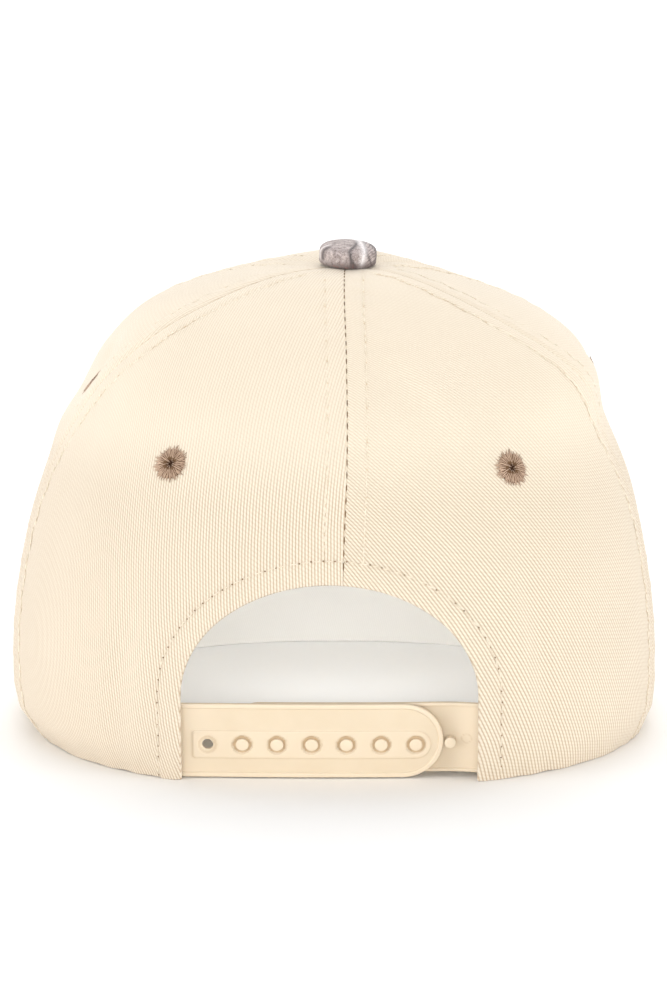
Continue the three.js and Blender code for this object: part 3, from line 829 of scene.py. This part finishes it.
for name, azimuth, along, turn in EYELETS:
    azimuth, along = azimuth + np.array((0, -2.5, 2.5, 0, 0)), along + np.array((0, 0, 0, -0.02, 0.02))
    relief, _ = relief_of(azimuth, along, crown_face(azimuth, along))
    cross = crown(azimuth, along, relief)
    out = np.cross(cross[4] - cross[3], cross[2] - cross[1])[None]
    out = out / np.linalg.norm(out) + (0, turn, 0)
    out /= np.linalg.norm(out)
    front = cross[:1]
    back = front - CLOTH * MM * out
    threads = rosette.make(name + "_threads", path_mesh(name, [(front, out)]), Thread=BROWN_THREAD)
    inside = rosette.make(name + "_inside", path_mesh(name + "_back", [(back, -out)]), Thread=BROWN_THREAD,
                          Flange=BACK_FLANGE * MM, Threads=46)
    bed = turned(name + "_bed", BED_PROFILE, [(tuple(front[0]), tuple(out[0]))], 40)
    bed.data.materials.append(bed_shade_finish.material)
    for piece in (threads, inside, bed):
        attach(piece, "root")
        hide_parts(name)

# Button
# A domed button covered in printed cotton, its shank set through the panels' tips into a washer inside.
# The print is a mottled grey-brown bark with a few darker cracks and one pale streak. Over it are painted a
# highlight along the rim at the left shoulder and stripes of shade where the cotton wrinkles.
BUTTON = {"radius": 8.1, "height": 6.2, "squareness": 3.1, "foot_squareness": 9, "rise": 0.3, "aside": 0.35}
BUTTON_LEAN = {"back": math.radians(5.5), "right": math.radians(2.5)}
PEAK = section("side_rise", np.array(1.0))
angle = np.radians(np.linspace(-84, 90, 48))
power = 2 / np.where(angle > 0, BUTTON["squareness"], BUTTON["foot_squareness"])
dome_radius = BUTTON["radius"] * np.clip(np.cos(angle), 0, None) ** power
dome_height = np.sign(np.sin(angle)) * np.abs(np.sin(angle)) ** power
dome = np.stack((dome_radius, BUTTON["rise"] + BUTTON["height"] / 2 * (1 + dome_height)), -1)
dome[-1, 0] = 0
shank = [(0, -3.6), (4.7, -3.6), (5.0, -3.4), (5.0, -3.0), (4.8, -2.85), (2.4, -2.8), (2.4, 0.35)]
button_place = (np.array((-LEAN - BUTTON["aside"], 0, PEAK)) + CROWN_CENTRE) * MM
button_axis = (-math.sin(BUTTON_LEAN["right"]), math.sin(BUTTON_LEAN["back"]), 1)
button = turned("printed_button", shank + dome.tolist(), [(tuple(button_place), button_axis)], 96)

bark = Finish("bark_print")
size = BUTTON["radius"] * MM
spot = bark.node("ShaderNodeMapping", vector_type="POINT", Vector=bark.place(),
                 Location=tuple(-button_place / size), Scale=(1 / size,) * 3)
left, ahead, high = spot.parts()
right = left * -1
far = (ahead * -1).clamp()
over = 1 - ahead
warp = bark.noise(spot, 2.2, 3) - 0.5
line = right + warp * 0.16
mottle = bark.noise(spot, 6, 5)
fleck = bark.noise(spot, 24, 3)
ground = (mottle * 1.5 + fleck * 0.9 - 0.8).clamp().between(srgb(112, 97, 94), srgb(222, 208, 204))


def streak(place, middle, width, strength):
    """A band about a line of the print, as a share of its full tone."""
    return (1 - ((place - middle) / width).size()).clamp() ** 1.3 * strength


rim = (right.size() ** 3 + ((high - 0.38) / 0.42).size() ** 3) ** (1 / 3) + warp * 0.05
left_shoulder = right.step(-0.45, -0.7) * high.step(0.16, 0.3)
crack_line = line + high * 0.2 - over * 0.115 - high.step(0.55, 0.8) * 0.2
crack = streak(crack_line + (fleck - 0.5) * 0.1, 0.19, 0.12, 1.2)
crack = crack + high.step(0.4, 0.0) * streak(crack_line, 0.2, 0.3, 1.0)
crack = crack + streak(rim, 0.86, 0.09, 1.1) * left_shoulder + streak(line + high * 0.4, 0.86, 0.06, 0.9)
crack = crack + streak(rim, 1.0, 0.08, 0.9) * right.step(0.7, 0.85)
crack = (crack * (mottle * 1.1 + 0.4)).clamp()
# Painted shade: dark stripes where the cotton wrinkles, with no fold in the shape.
wrinkle_shade = ((high * 1.3 + right * -0.75 + warp * 0.25) * 42).sine().step(0.35, 0.95)
wrinkle_shade = wrinkle_shade * line.step(0.45, 0.65) * fleck.step(0.3, 0.55) * 0.75
pale_streak_and_rim_highlight = streak(line - high * 0.2 + over * 0.2 + (fleck - 0.5) * 0.12, 0.5, 0.21, 1.0) * (0.1 + fleck * 1.5)
# Painted highlight along the rim at the left shoulder, added to the print's pale streak.
pale_streak_and_rim_highlight = pale_streak_and_rim_highlight + streak(rim, 0.96, 0.04, 0.7) * left_shoulder
hem = high.step(0.3, 0.02) * (mottle * 1.7 + fleck * 0.6 - 0.25).clamp()
rust = bark.noise(spot, 8, 2).step(0.5, 0.6) * high.step(0.22, 0.05)
rust = rust * line.step(-0.7, -0.4) * line.step(0.4, 0.0)
colour = far.step(0.55, 0.9).between(ground, srgb(142, 134, 138))
colour = (crack + wrinkle_shade).clamp().between(colour, srgb(82, 72, 72))
colour = pale_streak_and_rim_highlight.clamp().between(colour, srgb(246, 240, 240))
colour = (hem * 0.85).between(colour, srgb(76, 58, 54))
colour = (rust * 0.35).clamp().between(colour, srgb(140, 78, 64))
yarn = math.pi * size / 0.00042
weave = (right * yarn).sine().size() * ((ahead + high) * yarn).sine().size()
bark.set(Base_Color=(weave * 0.1).between(colour, (1, 1, 1)), Roughness=0.78 - 0.1 * weave,
         Specular_IOR_Level=0.3, Sheen_Weight=0.1)
bark.raise_by(weave + fleck * 0.3, 0.5, 0.00012)
button.data.materials.append(bark.material)
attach(button, "root")
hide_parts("button")

# Snap strap
# Two flexible halves moulded in cream plastic, each sewn into the rim by its end. The left half lies outside,
# with seven holes in a raised track; the right one carries the pegs, six of them pressed home and one spare.
STRAP = {"thick": 1.2, "tilt": 11, "bottom": 0.3, "bulge": 1.6, "end": 38.0, "mouth": 29.5, "seat": 2.5}
HOLES = {"count": 7, "first": 33.9, "pitch": 9.34, "height": 9.7, "bore": 1.5, "sink": 2.62,
         "seat": 0.62, "dish": 0.16, "lead_in": 0.25}
OVER_STRAP = {"height": 21.8, "tip": -29.6, "rim": 1.15, "sunk": 0.42}
UNDER_STRAP = {"height": 20.6, "tip": 29.5, "rim": 0.8, "sunk": 0.42}
TRACK = {"left": 38.0, "right": -26.2, "low": 5.7, "high": 13.8, "raised": 0.3}
PEG = {"head": 1.74, "shaft": 1.3, "proud": 0.08}
SPARE_PEG = {"head": 1.62, "proud": 0.2, "raised": 0.5}
RING_MARK = {"x": -36.2, "height": 11.2, "radius": 1.3, "raised": 0.14}
LAP = 1.5


def through(points, steps=60):
    """A smooth line through points, paced by the square roots of their distances."""
    ends = np.concatenate((2 * points[:1] - points[1:2], points, 2 * points[-1:] - points[-2:-1]))
    line = []
    for a, b, c, d in zip(ends, ends[1:], ends[2:], ends[3:]):
        i, j, k = (np.linalg.norm(q - p) ** 0.5 for p, q in ((a, b), (b, c), (c, d)))
        leave = ((b - a) / i - (c - a) / (i + j) + (c - b) / j) * j
        arrive = ((c - b) / j - (d - b) / (j + k) + (d - c) / k) * j
        t = np.linspace(0, 1, steps, endpoint=False)[:, None]
        square, cube = 3 * c - 3 * b - 2 * leave - arrive, 2 * b - 2 * c + leave + arrive
        line.append(b + t * leave + t**2 * square + t**3 * cube)
    return np.concatenate(line + [points[-1:]])


def strap_seat(azimuth):
    """Where a strap half lies under the rim, in plan."""
    along = np.full_like(azimuth, 0.004)
    return (crown_face(azimuth, along) - STRAP["seat"] * crown_normal(azimuth, along))[..., :2]


def strap_line(inset):
    """A strap half's plan between the rim's two ends, from the right to the left."""
    seats = np.array((STRAP["end"], (STRAP["end"] + STRAP["mouth"]) / 2, STRAP["mouth"]))
    left, right = strap_seat(seats), strap_seat(-seats)[::-1]
    x = np.array((32, 16, 0, -16, -32.0))
    middle = np.stack((x, left[2, 1] + STRAP["bulge"] * (1 - (x / 44) ** 2) - inset), -1)
    return through(np.concatenate((left, middle, right)))[::-1]


def on_strap(line, x, height, depth):
    """Points at a distance along, up and into a strap half, in millimetres, and the way out of its face."""
    y = np.interp(x, line[:, 0], line[:, 1])
    slope = np.interp(x, line[:, 0], np.gradient(line[:, 1], line[:, 0]))
    out = np.stack((-slope, np.ones_like(slope), np.zeros_like(slope)), -1) / np.hypot(1, slope)[..., None]
    tilt = math.radians(STRAP["tilt"])
    up = out * math.sin(tilt) + (0, 0, math.cos(tilt))
    face = out * math.cos(tilt) + (0, 0, -math.sin(tilt))
    foot = np.stack((x, y, np.full_like(y, STRAP["bottom"])), -1)
    place = foot + up * np.asarray(height)[..., None] - face * np.asarray(depth)[..., None]
    return (place + CROWN_CENTRE) * MM, face


def smooth(low, high, x):
    t = np.clip((x - low) / (high - low), 0, 1)
    return t * t * (3 - 2 * t)


def strap_half(name, line, end, tip, lower, upper, sunk_at, across, up):
    """A plate with rounded edges, from its sewn end to its round tip, its face sunk by sunk_at."""
    radius, way, middle = (upper - lower) / 2, np.sign(tip - end), (upper + lower) / 2
    straight = abs(tip - end) - radius
    run = spaced(across, 0.85) * (straight + radius * math.pi / 2)
    turn = np.clip((run - straight) / radius, 0, math.pi / 2)
    x = end + way * (np.minimum(run, straight) + radius * np.sin(turn))
    x, v = np.meshgrid(x, 2 * spaced(up, 0.85) - 1)
    half_height = radius * np.cos(turn)
    height = middle + half_height * v
    past = np.clip(way * (x - end) - straight, 0, None)
    edge = np.where(past > 0, radius - np.hypot(past, height - middle), half_height - np.abs(height - middle))
    edge = within_border(np.clip(np.minimum(edge, np.abs(x - end)), 0, None))
    half = STRAP["thick"] / 2 * edge_thickness(edge, 0.4)
    sunk = within_border(sunk_at(x, height, edge))
    outer, _ = on_strap(line, x, height, STRAP["thick"] / 2 - half + sunk)
    inner, _ = on_strap(line, x, height, STRAP["thick"] / 2 + half)
    inner = np.where((half < 1e-4)[..., None], outer, inner)
    return grid_shell(name, outer, inner, np.stack((x, height), -1) * MM, sunk)


def sunk_face(rim, depth):
    return lambda x, height, edge: depth * smooth(rim, rim + 0.4, edge)


def over_face(x, height, edge):
    sunk = sunk_face(OVER_STRAP["rim"], OVER_STRAP["sunk"])(x, height, edge)
    middle_x, half_x = (TRACK["left"] + TRACK["right"]) / 2, (TRACK["left"] - TRACK["right"]) / 2
    middle_y, half_y = (TRACK["low"] + TRACK["high"]) / 2, (TRACK["high"] - TRACK["low"]) / 2
    corner = np.where(x < middle_x, half_y, 0.9)
    a, b = np.abs(x - middle_x) - half_x + corner, np.abs(height - middle_y) - half_y + corner
    beyond = np.hypot(np.clip(a, 0, None), np.clip(b, 0, None)) + np.clip(np.maximum(a, b), None, 0) - corner
    sunk = sunk - TRACK["raised"] * smooth(0.22, -0.22, beyond)
    for i in range(HOLES["count"]):
        away = np.hypot(x - HOLES["first"] + HOLES["pitch"] * i, height - HOLES["height"])
        if i:
            sunk = sunk + HOLES["seat"] * smooth(HOLES["sink"] + 0.12, HOLES["sink"] - 0.12, away)
        else:
            sunk = sunk + HOLES["dish"] * smooth(HOLES["sink"] + 0.15, HOLES["sink"] - 0.1, away)
            sunk = sunk + HOLES["lead_in"] * smooth(HOLES["bore"] + 0.45, HOLES["bore"], away)
    return sunk


def under_face(x, height, edge):
    away = np.hypot(x - RING_MARK["x"], height - RING_MARK["height"])
    sunk = sunk_face(UNDER_STRAP["rim"], UNDER_STRAP["sunk"])(x, height, edge)
    return sunk - RING_MARK["raised"] * bump(away, RING_MARK["radius"], 0.28)


over_line, under_line = strap_line(0), strap_line(LAP)
left_end, right_end = (strap_seat(np.array(end))[0] for end in (STRAP["end"], -STRAP["end"]))
over = strap_half("strap_over", over_line, left_end - 0.5, OVER_STRAP["tip"], 0, OVER_STRAP["height"],
                  over_face, 300, 110)
under = strap_half("strap_under", under_line, right_end + 0.5, UNDER_STRAP["tip"],
                   OVER_STRAP["height"] - UNDER_STRAP["height"], OVER_STRAP["height"], under_face, 220, 80)

hole_x = HOLES["first"] - HOLES["pitch"] * np.arange(HOLES["count"] + 1)
hole_places, hole_axes = on_strap(over_line, hole_x, np.full(8, HOLES["height"]), np.zeros(8))
bores = turned("hole_cutter", [(0, -4), (HOLES["bore"], -4), (HOLES["bore"], 4), (0, 4)],
               [(tuple(p), tuple(a)) for p, a in zip(hole_places[:7], hole_axes)], 28)
cutting = over.modifiers.new("holes", "BOOLEAN")
cutting.operation, cutting.solver, cutting.object = "DIFFERENCE", "EXACT", bores
over_mesh = baked(over)
over.modifiers.remove(cutting)
over.data = over_mesh
bpy.data.objects.remove(bores)

hole_places[7, 2] += SPARE_PEG["raised"] * MM
peg_spots = list(zip(map(tuple, hole_places), map(tuple, hole_axes)))
head, shaft, top = PEG["head"], PEG["shaft"], PEG["proud"]
pressed_peg = [(0, top), (1.0, top - 0.01), (head - 0.3, top - 0.05), (head - 0.07, top - 0.13),
               (head, top - 0.3), (head, -0.45), (shaft, -0.55), (shaft, -1.62), (0, -1.62)]
pegs = turned("strap_pegs", pressed_peg, peg_spots[1:7], 36)
head, top = SPARE_PEG["head"], SPARE_PEG["proud"]
spare_peg = [(0, top), (0.9, top - 0.01), (head - 0.3, top - 0.05), (head - 0.06, top - 0.14),
             (head, top - 0.32), (head, -0.5), (1.35, -0.75), (1.35, -1.25), (1.6, -1.45), (1.6, -1.7),
             (0, -1.7)]
spare = turned("strap_spare_peg", spare_peg, peg_spots[7:], 40)

plastic = Finish("cream_moulded_plastic")
place, sunk = plastic.place(), plastic.attribute("sunk")
cloudy = plastic.noise(place, 120, 3)
grain = plastic.noise(place, 4200, 2)
# Painted light on the strap's face: the raised lip is painted paler as a highlight, a line of shade is
# painted on the slopes between its levels, and the sunk seats round the holes and pegs are painted darker as
# shade.
shaded_recess, lip_highlight = sunk.step(0.44, 0.72), sunk.step(0.25, 0.03)
slope_shade = (1 - ((sunk - 0.27) / 0.11).size()).clamp()
face_with_painted_light = (cloudy.step(0.35, 0.65) * 0.5).between(srgb(226, 209, 183), srgb(222, 204, 176))
# Painted light: the plastic is paler towards both ends of the strap, lifting the shade that the panels cast
# there.
face_with_painted_light = place.parts()[0].size().step(0.028, 0.041).between(face_with_painted_light, srgb(240, 223, 197))
face_with_painted_light = (lip_highlight * 0.5).between(face_with_painted_light, srgb(237, 220, 195))
face_with_painted_light = (slope_shade * 0.45).between(face_with_painted_light, srgb(204, 178, 142))
# Painted shade in the sunk seats round the holes and pegs.
plastic.set(Base_Color=(shaded_recess * 0.9).between(face_with_painted_light, srgb(208, 181, 146)),
            Roughness=0.42 + 0.12 * grain + 0.1 * shaded_recess, Specular_IOR_Level=0.4, Subsurface_Weight=0.06,
            Subsurface_Radius=(0.004, 0.0025, 0.0015), Subsurface_Scale=0.4)
plastic.raise_by(grain * 0.7 + cloudy * 0.3, 0.25, 0.00008)
for piece, node in ((over, "strap_with_holes"), (under, "strap_with_pegs"), (pegs, "strap_with_pegs"),
                    (spare, "strap_with_pegs")):
    piece.data.materials.clear()
    piece.data.materials.append(plastic.material)
    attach(piece, "root")
    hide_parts(node)

# Sweatband
# A band of pale closely woven cotton round the inside of the rim, from one side of the back opening to the
# other, folded over at its top and sewn near it. It steps in over the strap's sewn ends.
BAND = {"thick": 1.0, "height": 0.245, "hem": 1.4, "knee": 0.05, "end": 31.0, "strap_cover": 3.6,
        "brim_cover": 6.1, "seat": 2.2, "stand": 0.9, "rise": 33, "row": 26.5, "length": 460}
FLOOR_GAP = 0.05 * MM


def band_place(azimuth, share):
    """Points of the band's middle and the ways out of the crown, from its hem up to its top fold."""
    over_strap = smooth(0, 5, STRAP["end"] + 6 - np.minimum(azimuth, 360 - azimuth))
    over_brim = smooth(0.38, 0.54, -np.cos(np.radians(azimuth)))
    depth = BAND["seat"] + BAND["stand"] * over_brim + BAND["strap_cover"] * over_strap + BAND["thick"] / 2
    along = BAND["knee"] + (BAND["height"] - BAND["knee"]) * np.clip((share - 0.2) / 0.8, 0, 1)
    normal = crown_normal(azimuth, along)
    body = crown_face(azimuth, along) - depth[..., None] * normal
    rim = crown_normal(azimuth, 0 * azimuth)
    level = rim * (1, 1, 0)
    hem = crown_face(azimuth, 0 * azimuth) - level * (depth / (level**2).sum(-1))[..., None]
    hem[..., 2] += BAND["hem"] - BAND["brim_cover"] * over_brim
    low = np.clip(1 - share / 0.2, 0, 1)[..., None]
    return body + (hem - body) * low, normal


u, v = np.meshgrid(spaced(260), spaced(46))
azimuth = BAND["end"] + (360 - 2 * BAND["end"]) * u
length, rise = np.radians(azimuth) * CROWN_RADIUS, v * BAND["rise"]
edge = np.minimum(np.minimum(v, 1 - v) * BAND["rise"], np.minimum(u, 1 - u) * BAND["length"])
swell = 0.25 * bump(rise, 30, 2.5) - 0.35 * bump(rise, BAND["row"], 0.6)
swell = swell + 0.2 * np.sin(length / 9 + 2 * np.sin(length / 31)) * v
half = BAND["thick"] / 2 * within_border(edge_thickness(edge, 0.5))[..., None]
middle, out = band_place(azimuth, v)
outer = (middle + half * out + CROWN_CENTRE) * MM
inner = (middle - half * (1 + 0.8 * swell[..., None]) * out + CROWN_CENTRE) * MM
inner = np.where(half < 1e-4, outer, inner)
outer[..., 2], inner[..., 2] = (np.clip(face[..., 2], FLOOR_GAP, None) for face in (outer, inner))
band = grid_shell("pale_sweatband", outer, inner, twill_map(length, rise, (-152, -68, 0, 0), 0.6))
# Its groove colour is painted shade in the grooves, with no fading over the top.
PALE_TWILL = twill("pale_band_weave", srgb(235, 232, 227), srgb(242, 239, 234), 0.0006, 0.00004, 0)
band.data.materials.append(PALE_TWILL)
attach(band, "root")
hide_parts("sweatband")

azimuth_row = np.linspace(BAND["end"] + 1, 359 - BAND["end"], 500)
band_row, out = band_place(azimuth_row, np.full(500, BAND["row"] / BAND["rise"]))
band_row = (band_row - (BAND["thick"] / 2 + 0.02) * out + CROWN_CENTRE) * MM
band_stitching = sewing.make("band_stitching", path_mesh("band_row", [(band_row, -out)]),
                             Thread=CREAM_THREAD, Hole=NEEDLE_HOLE_SHADE)
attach(band_stitching, "root")

# Brim
# A stiff board covered above and below in the crown's twill, its edge folded and rounded, and quilted by
# rows of stitching that follow the edge. It is sewn in under the front of the rim.
BRIM = {"thick": 3.0, "half_width": 83.0, "root": -48.0, "reach": 115.0, "squareness": 2.35,
        "tip_lift": 2.0, "corner": 122.5}
ROW_GAP = 5.8
BRIM_ROWS = 3.2 + ROW_GAP * np.arange(7)
GAP = 0.3


def brim_root(u):
    azimuth = BRIM["corner"] + (360 - 2 * BRIM["corner"]) * u
    flat = np.zeros_like(azimuth)
    point, normal = crown_face(azimuth, flat), crown_normal(azimuth, flat)
    level = np.hypot(normal[..., 0], normal[..., 1])[..., None]
    point = point - CLOTH * normal / level**2
    point[..., 2] = rim_lift(azimuth) - GAP
    return point


def brim_edge(u):
    angle = np.radians(90 - 180 * u)
    power = 2 / BRIM["squareness"]
    x = BRIM["half_width"] * np.sign(np.sin(angle)) * np.abs(np.sin(angle)) ** power
    y = BRIM["root"] - BRIM["reach"] * np.clip(np.cos(angle), 0, None) ** power
    return np.stack((x, y, BRIM["thick"] + BRIM["tip_lift"] * (1 - (x / BRIM["half_width"]) ** 2)), -1)


def brim_top(u, v):
    root = brim_root(u)
    return root + (brim_edge(u) - root) * v[..., None]


u, v = np.meshgrid(spaced(250), spaced(104))
top = brim_top(u, v)
edge_line = Line(brim_edge(np.linspace(0, 1, 700)))
away, run = edge_line.measure(top)
quilt = 0
for place in BRIM_ROWS:
    quilt = quilt - 0.22 * bump(away, place, 0.7) * (1 + 0.3 * np.cos(2 * np.pi * run / STITCH_PITCH))
quilt = quilt + 0.12 * np.sin(2 * np.pi * (away - BRIM_ROWS[0]) / ROW_GAP) * (away < 42)
quilt = quilt + 0.05 * np.sin(run / 3.7) * bump(away, 8, 20)
half = BRIM["thick"] / 2 * within_border(edge_thickness(np.where(v > 0.5, away, 9), 1.5))
half[:1] = 0
middle = top - (0, 0, BRIM["thick"] / 2)
padded = (half + within_border(quilt) * (half / 1.5))[..., None] * (0, 0, 1)
upper, lower = middle + padded, middle - padded
lower = np.where((half < 1e-4)[..., None], upper, lower)
brim = grid_shell("covered_brim", (upper + CROWN_CENTRE) * MM, (lower + CROWN_CENTRE) * MM,
                  twill_map(top[..., 0], top[..., 1]))
brim.data.materials.append(CREAM_TWILL)
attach(brim, "root")
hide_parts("brim")

quilting = []
share = np.linspace(0, 1, 160)
field = brim_top(*np.meshgrid(np.linspace(0.01, 0.99, 240), share, indexing="ij"))
away, _ = edge_line.measure(field)
for place in BRIM_ROWS:
    points = []
    for line, distance in zip(field, away):
        crossing = np.where((distance[:-1] > place) & (distance[1:] <= place))[0]
        if len(crossing) and share[crossing[-1]] > 0.03:
            i = crossing[-1]
            t = (distance[i] - place) / (distance[i] - distance[i + 1])
            points.append(line[i] + t * (line[i + 1] - line[i]))
    points = np.array(points) + CROWN_CENTRE
    for lift, way in ((-0.15, 1), (-BRIM["thick"] + 0.4, -1)):
        quilting.append(((points + (0, 0, lift)) * MM, np.tile((0.0, 0.0, way), (len(points), 1))))
brim_stitching = sewing.make("brim_stitching", path_mesh("brim_rows", quilting), Thread=CREAM_THREAD,
                             Hole=NEEDLE_HOLE_SHADE)
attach(brim_stitching, "root")

# Studio
# A pale sweep under soft light, and the camera behind the hat and a little above it.
CAMERA_HEIGHT_ANGLE = 11.2
CAMERA_DISTANCE = 1.15
CAMERA_AIM = Vector((0.0002, 0.0385, 0.0617))
CAMERA_LENS = 217.2

floor_mesh = bpy.data.meshes.new("floor")
floor_mesh.from_pydata([(-6, -6, 0), (6, -6, 0), (6, 6, 0), (-6, 6, 0)], [], [(0, 1, 2, 3)])
floor = placed("floor", floor_mesh)
pale = Finish("pale_floor")
pale.set(Base_Color=(0.97, 0.97, 0.97, 1), Roughness=0.9, Specular_IOR_Level=0.1)
floor.data.materials.append(pale.material)


def look(thing, place, aim):
    """Puts a lamp or the camera at a place, looking at its aim."""
    thing.location = place
    thing.rotation_euler = (Vector(place) - Vector(aim)).to_track_quat("Z", "Y").to_euler()


def lamp(name, kind, power, place, aim, **settings):
    light = bpy.data.lights.new(name, kind)
    light.energy = power
    for setting, value in settings.items():
        setattr(light, setting, value)
    look(placed(name, light), place, aim)


HAT_MIDDLE = (0, 0.02, 0.06)
for name, power, size, place, aim in (
    ("key_light", 4, 0.9, (0.1, 2.3, 0.72), HAT_MIDDLE),
    ("low_light", 14, 1.4, (0, 2.3, 0.15), HAT_MIDDLE),
    ("left_light", 28, 1.2, (2.2, 1.0, 0.3), HAT_MIDDLE),
    ("right_light", 25, 1.2, (-2.2, 1.0, 0.3), HAT_MIDDLE),
    ("floor_light", 28, 3.0, (0, -1.1, 2.4), (0, -0.7, 0)),
    ("far_floor_light", 62, 3.0, (0, -3.4, 2.6), (0, -3.4, 0)),
):
    lamp(name, "AREA", power, place, aim, shape="DISK", size=size)
for name, power, cone, place, aim in (
    ("inside_left", 0.104, 1.85, (0.05, 0.045, 0.08), (0.054, -0.01, 0)),
    ("inside_right", 0.108, 1.85, (-0.05, 0.045, 0.08), (-0.054, -0.01, 0)),
    ("band_light", 0.225, 1.3, (0, 0.095, 0.078), (0, -0.05, 0.02)),
):
    lamp(name, "SPOT", power, place, aim, shadow_soft_size=0.012, spot_size=cone, spot_blend=0.7,
         color=(0.93, 0.96, 0.975))

world = bpy.data.worlds.new("studio")
world.use_nodes = True
background = world.node_tree.nodes["Background"].inputs
background["Color"].default_value = (1, 1, 1, 1)
background["Strength"].default_value = 0.67
bpy.context.scene.world = world

camera_data = bpy.data.cameras.new("camera")
camera_data.sensor_fit = "HORIZONTAL"
camera_data.sensor_width = 36
camera_data.lens = CAMERA_LENS
camera_data.clip_end = 50
camera = placed("camera", camera_data)
angle = math.radians(CAMERA_HEIGHT_ANGLE)
look(camera, CAMERA_AIM + CAMERA_DISTANCE * Vector((0, math.cos(angle), math.sin(angle))), CAMERA_AIM)
bpy.context.scene.camera = camera
bpy.context.scene.view_settings.view_transform = "Standard"
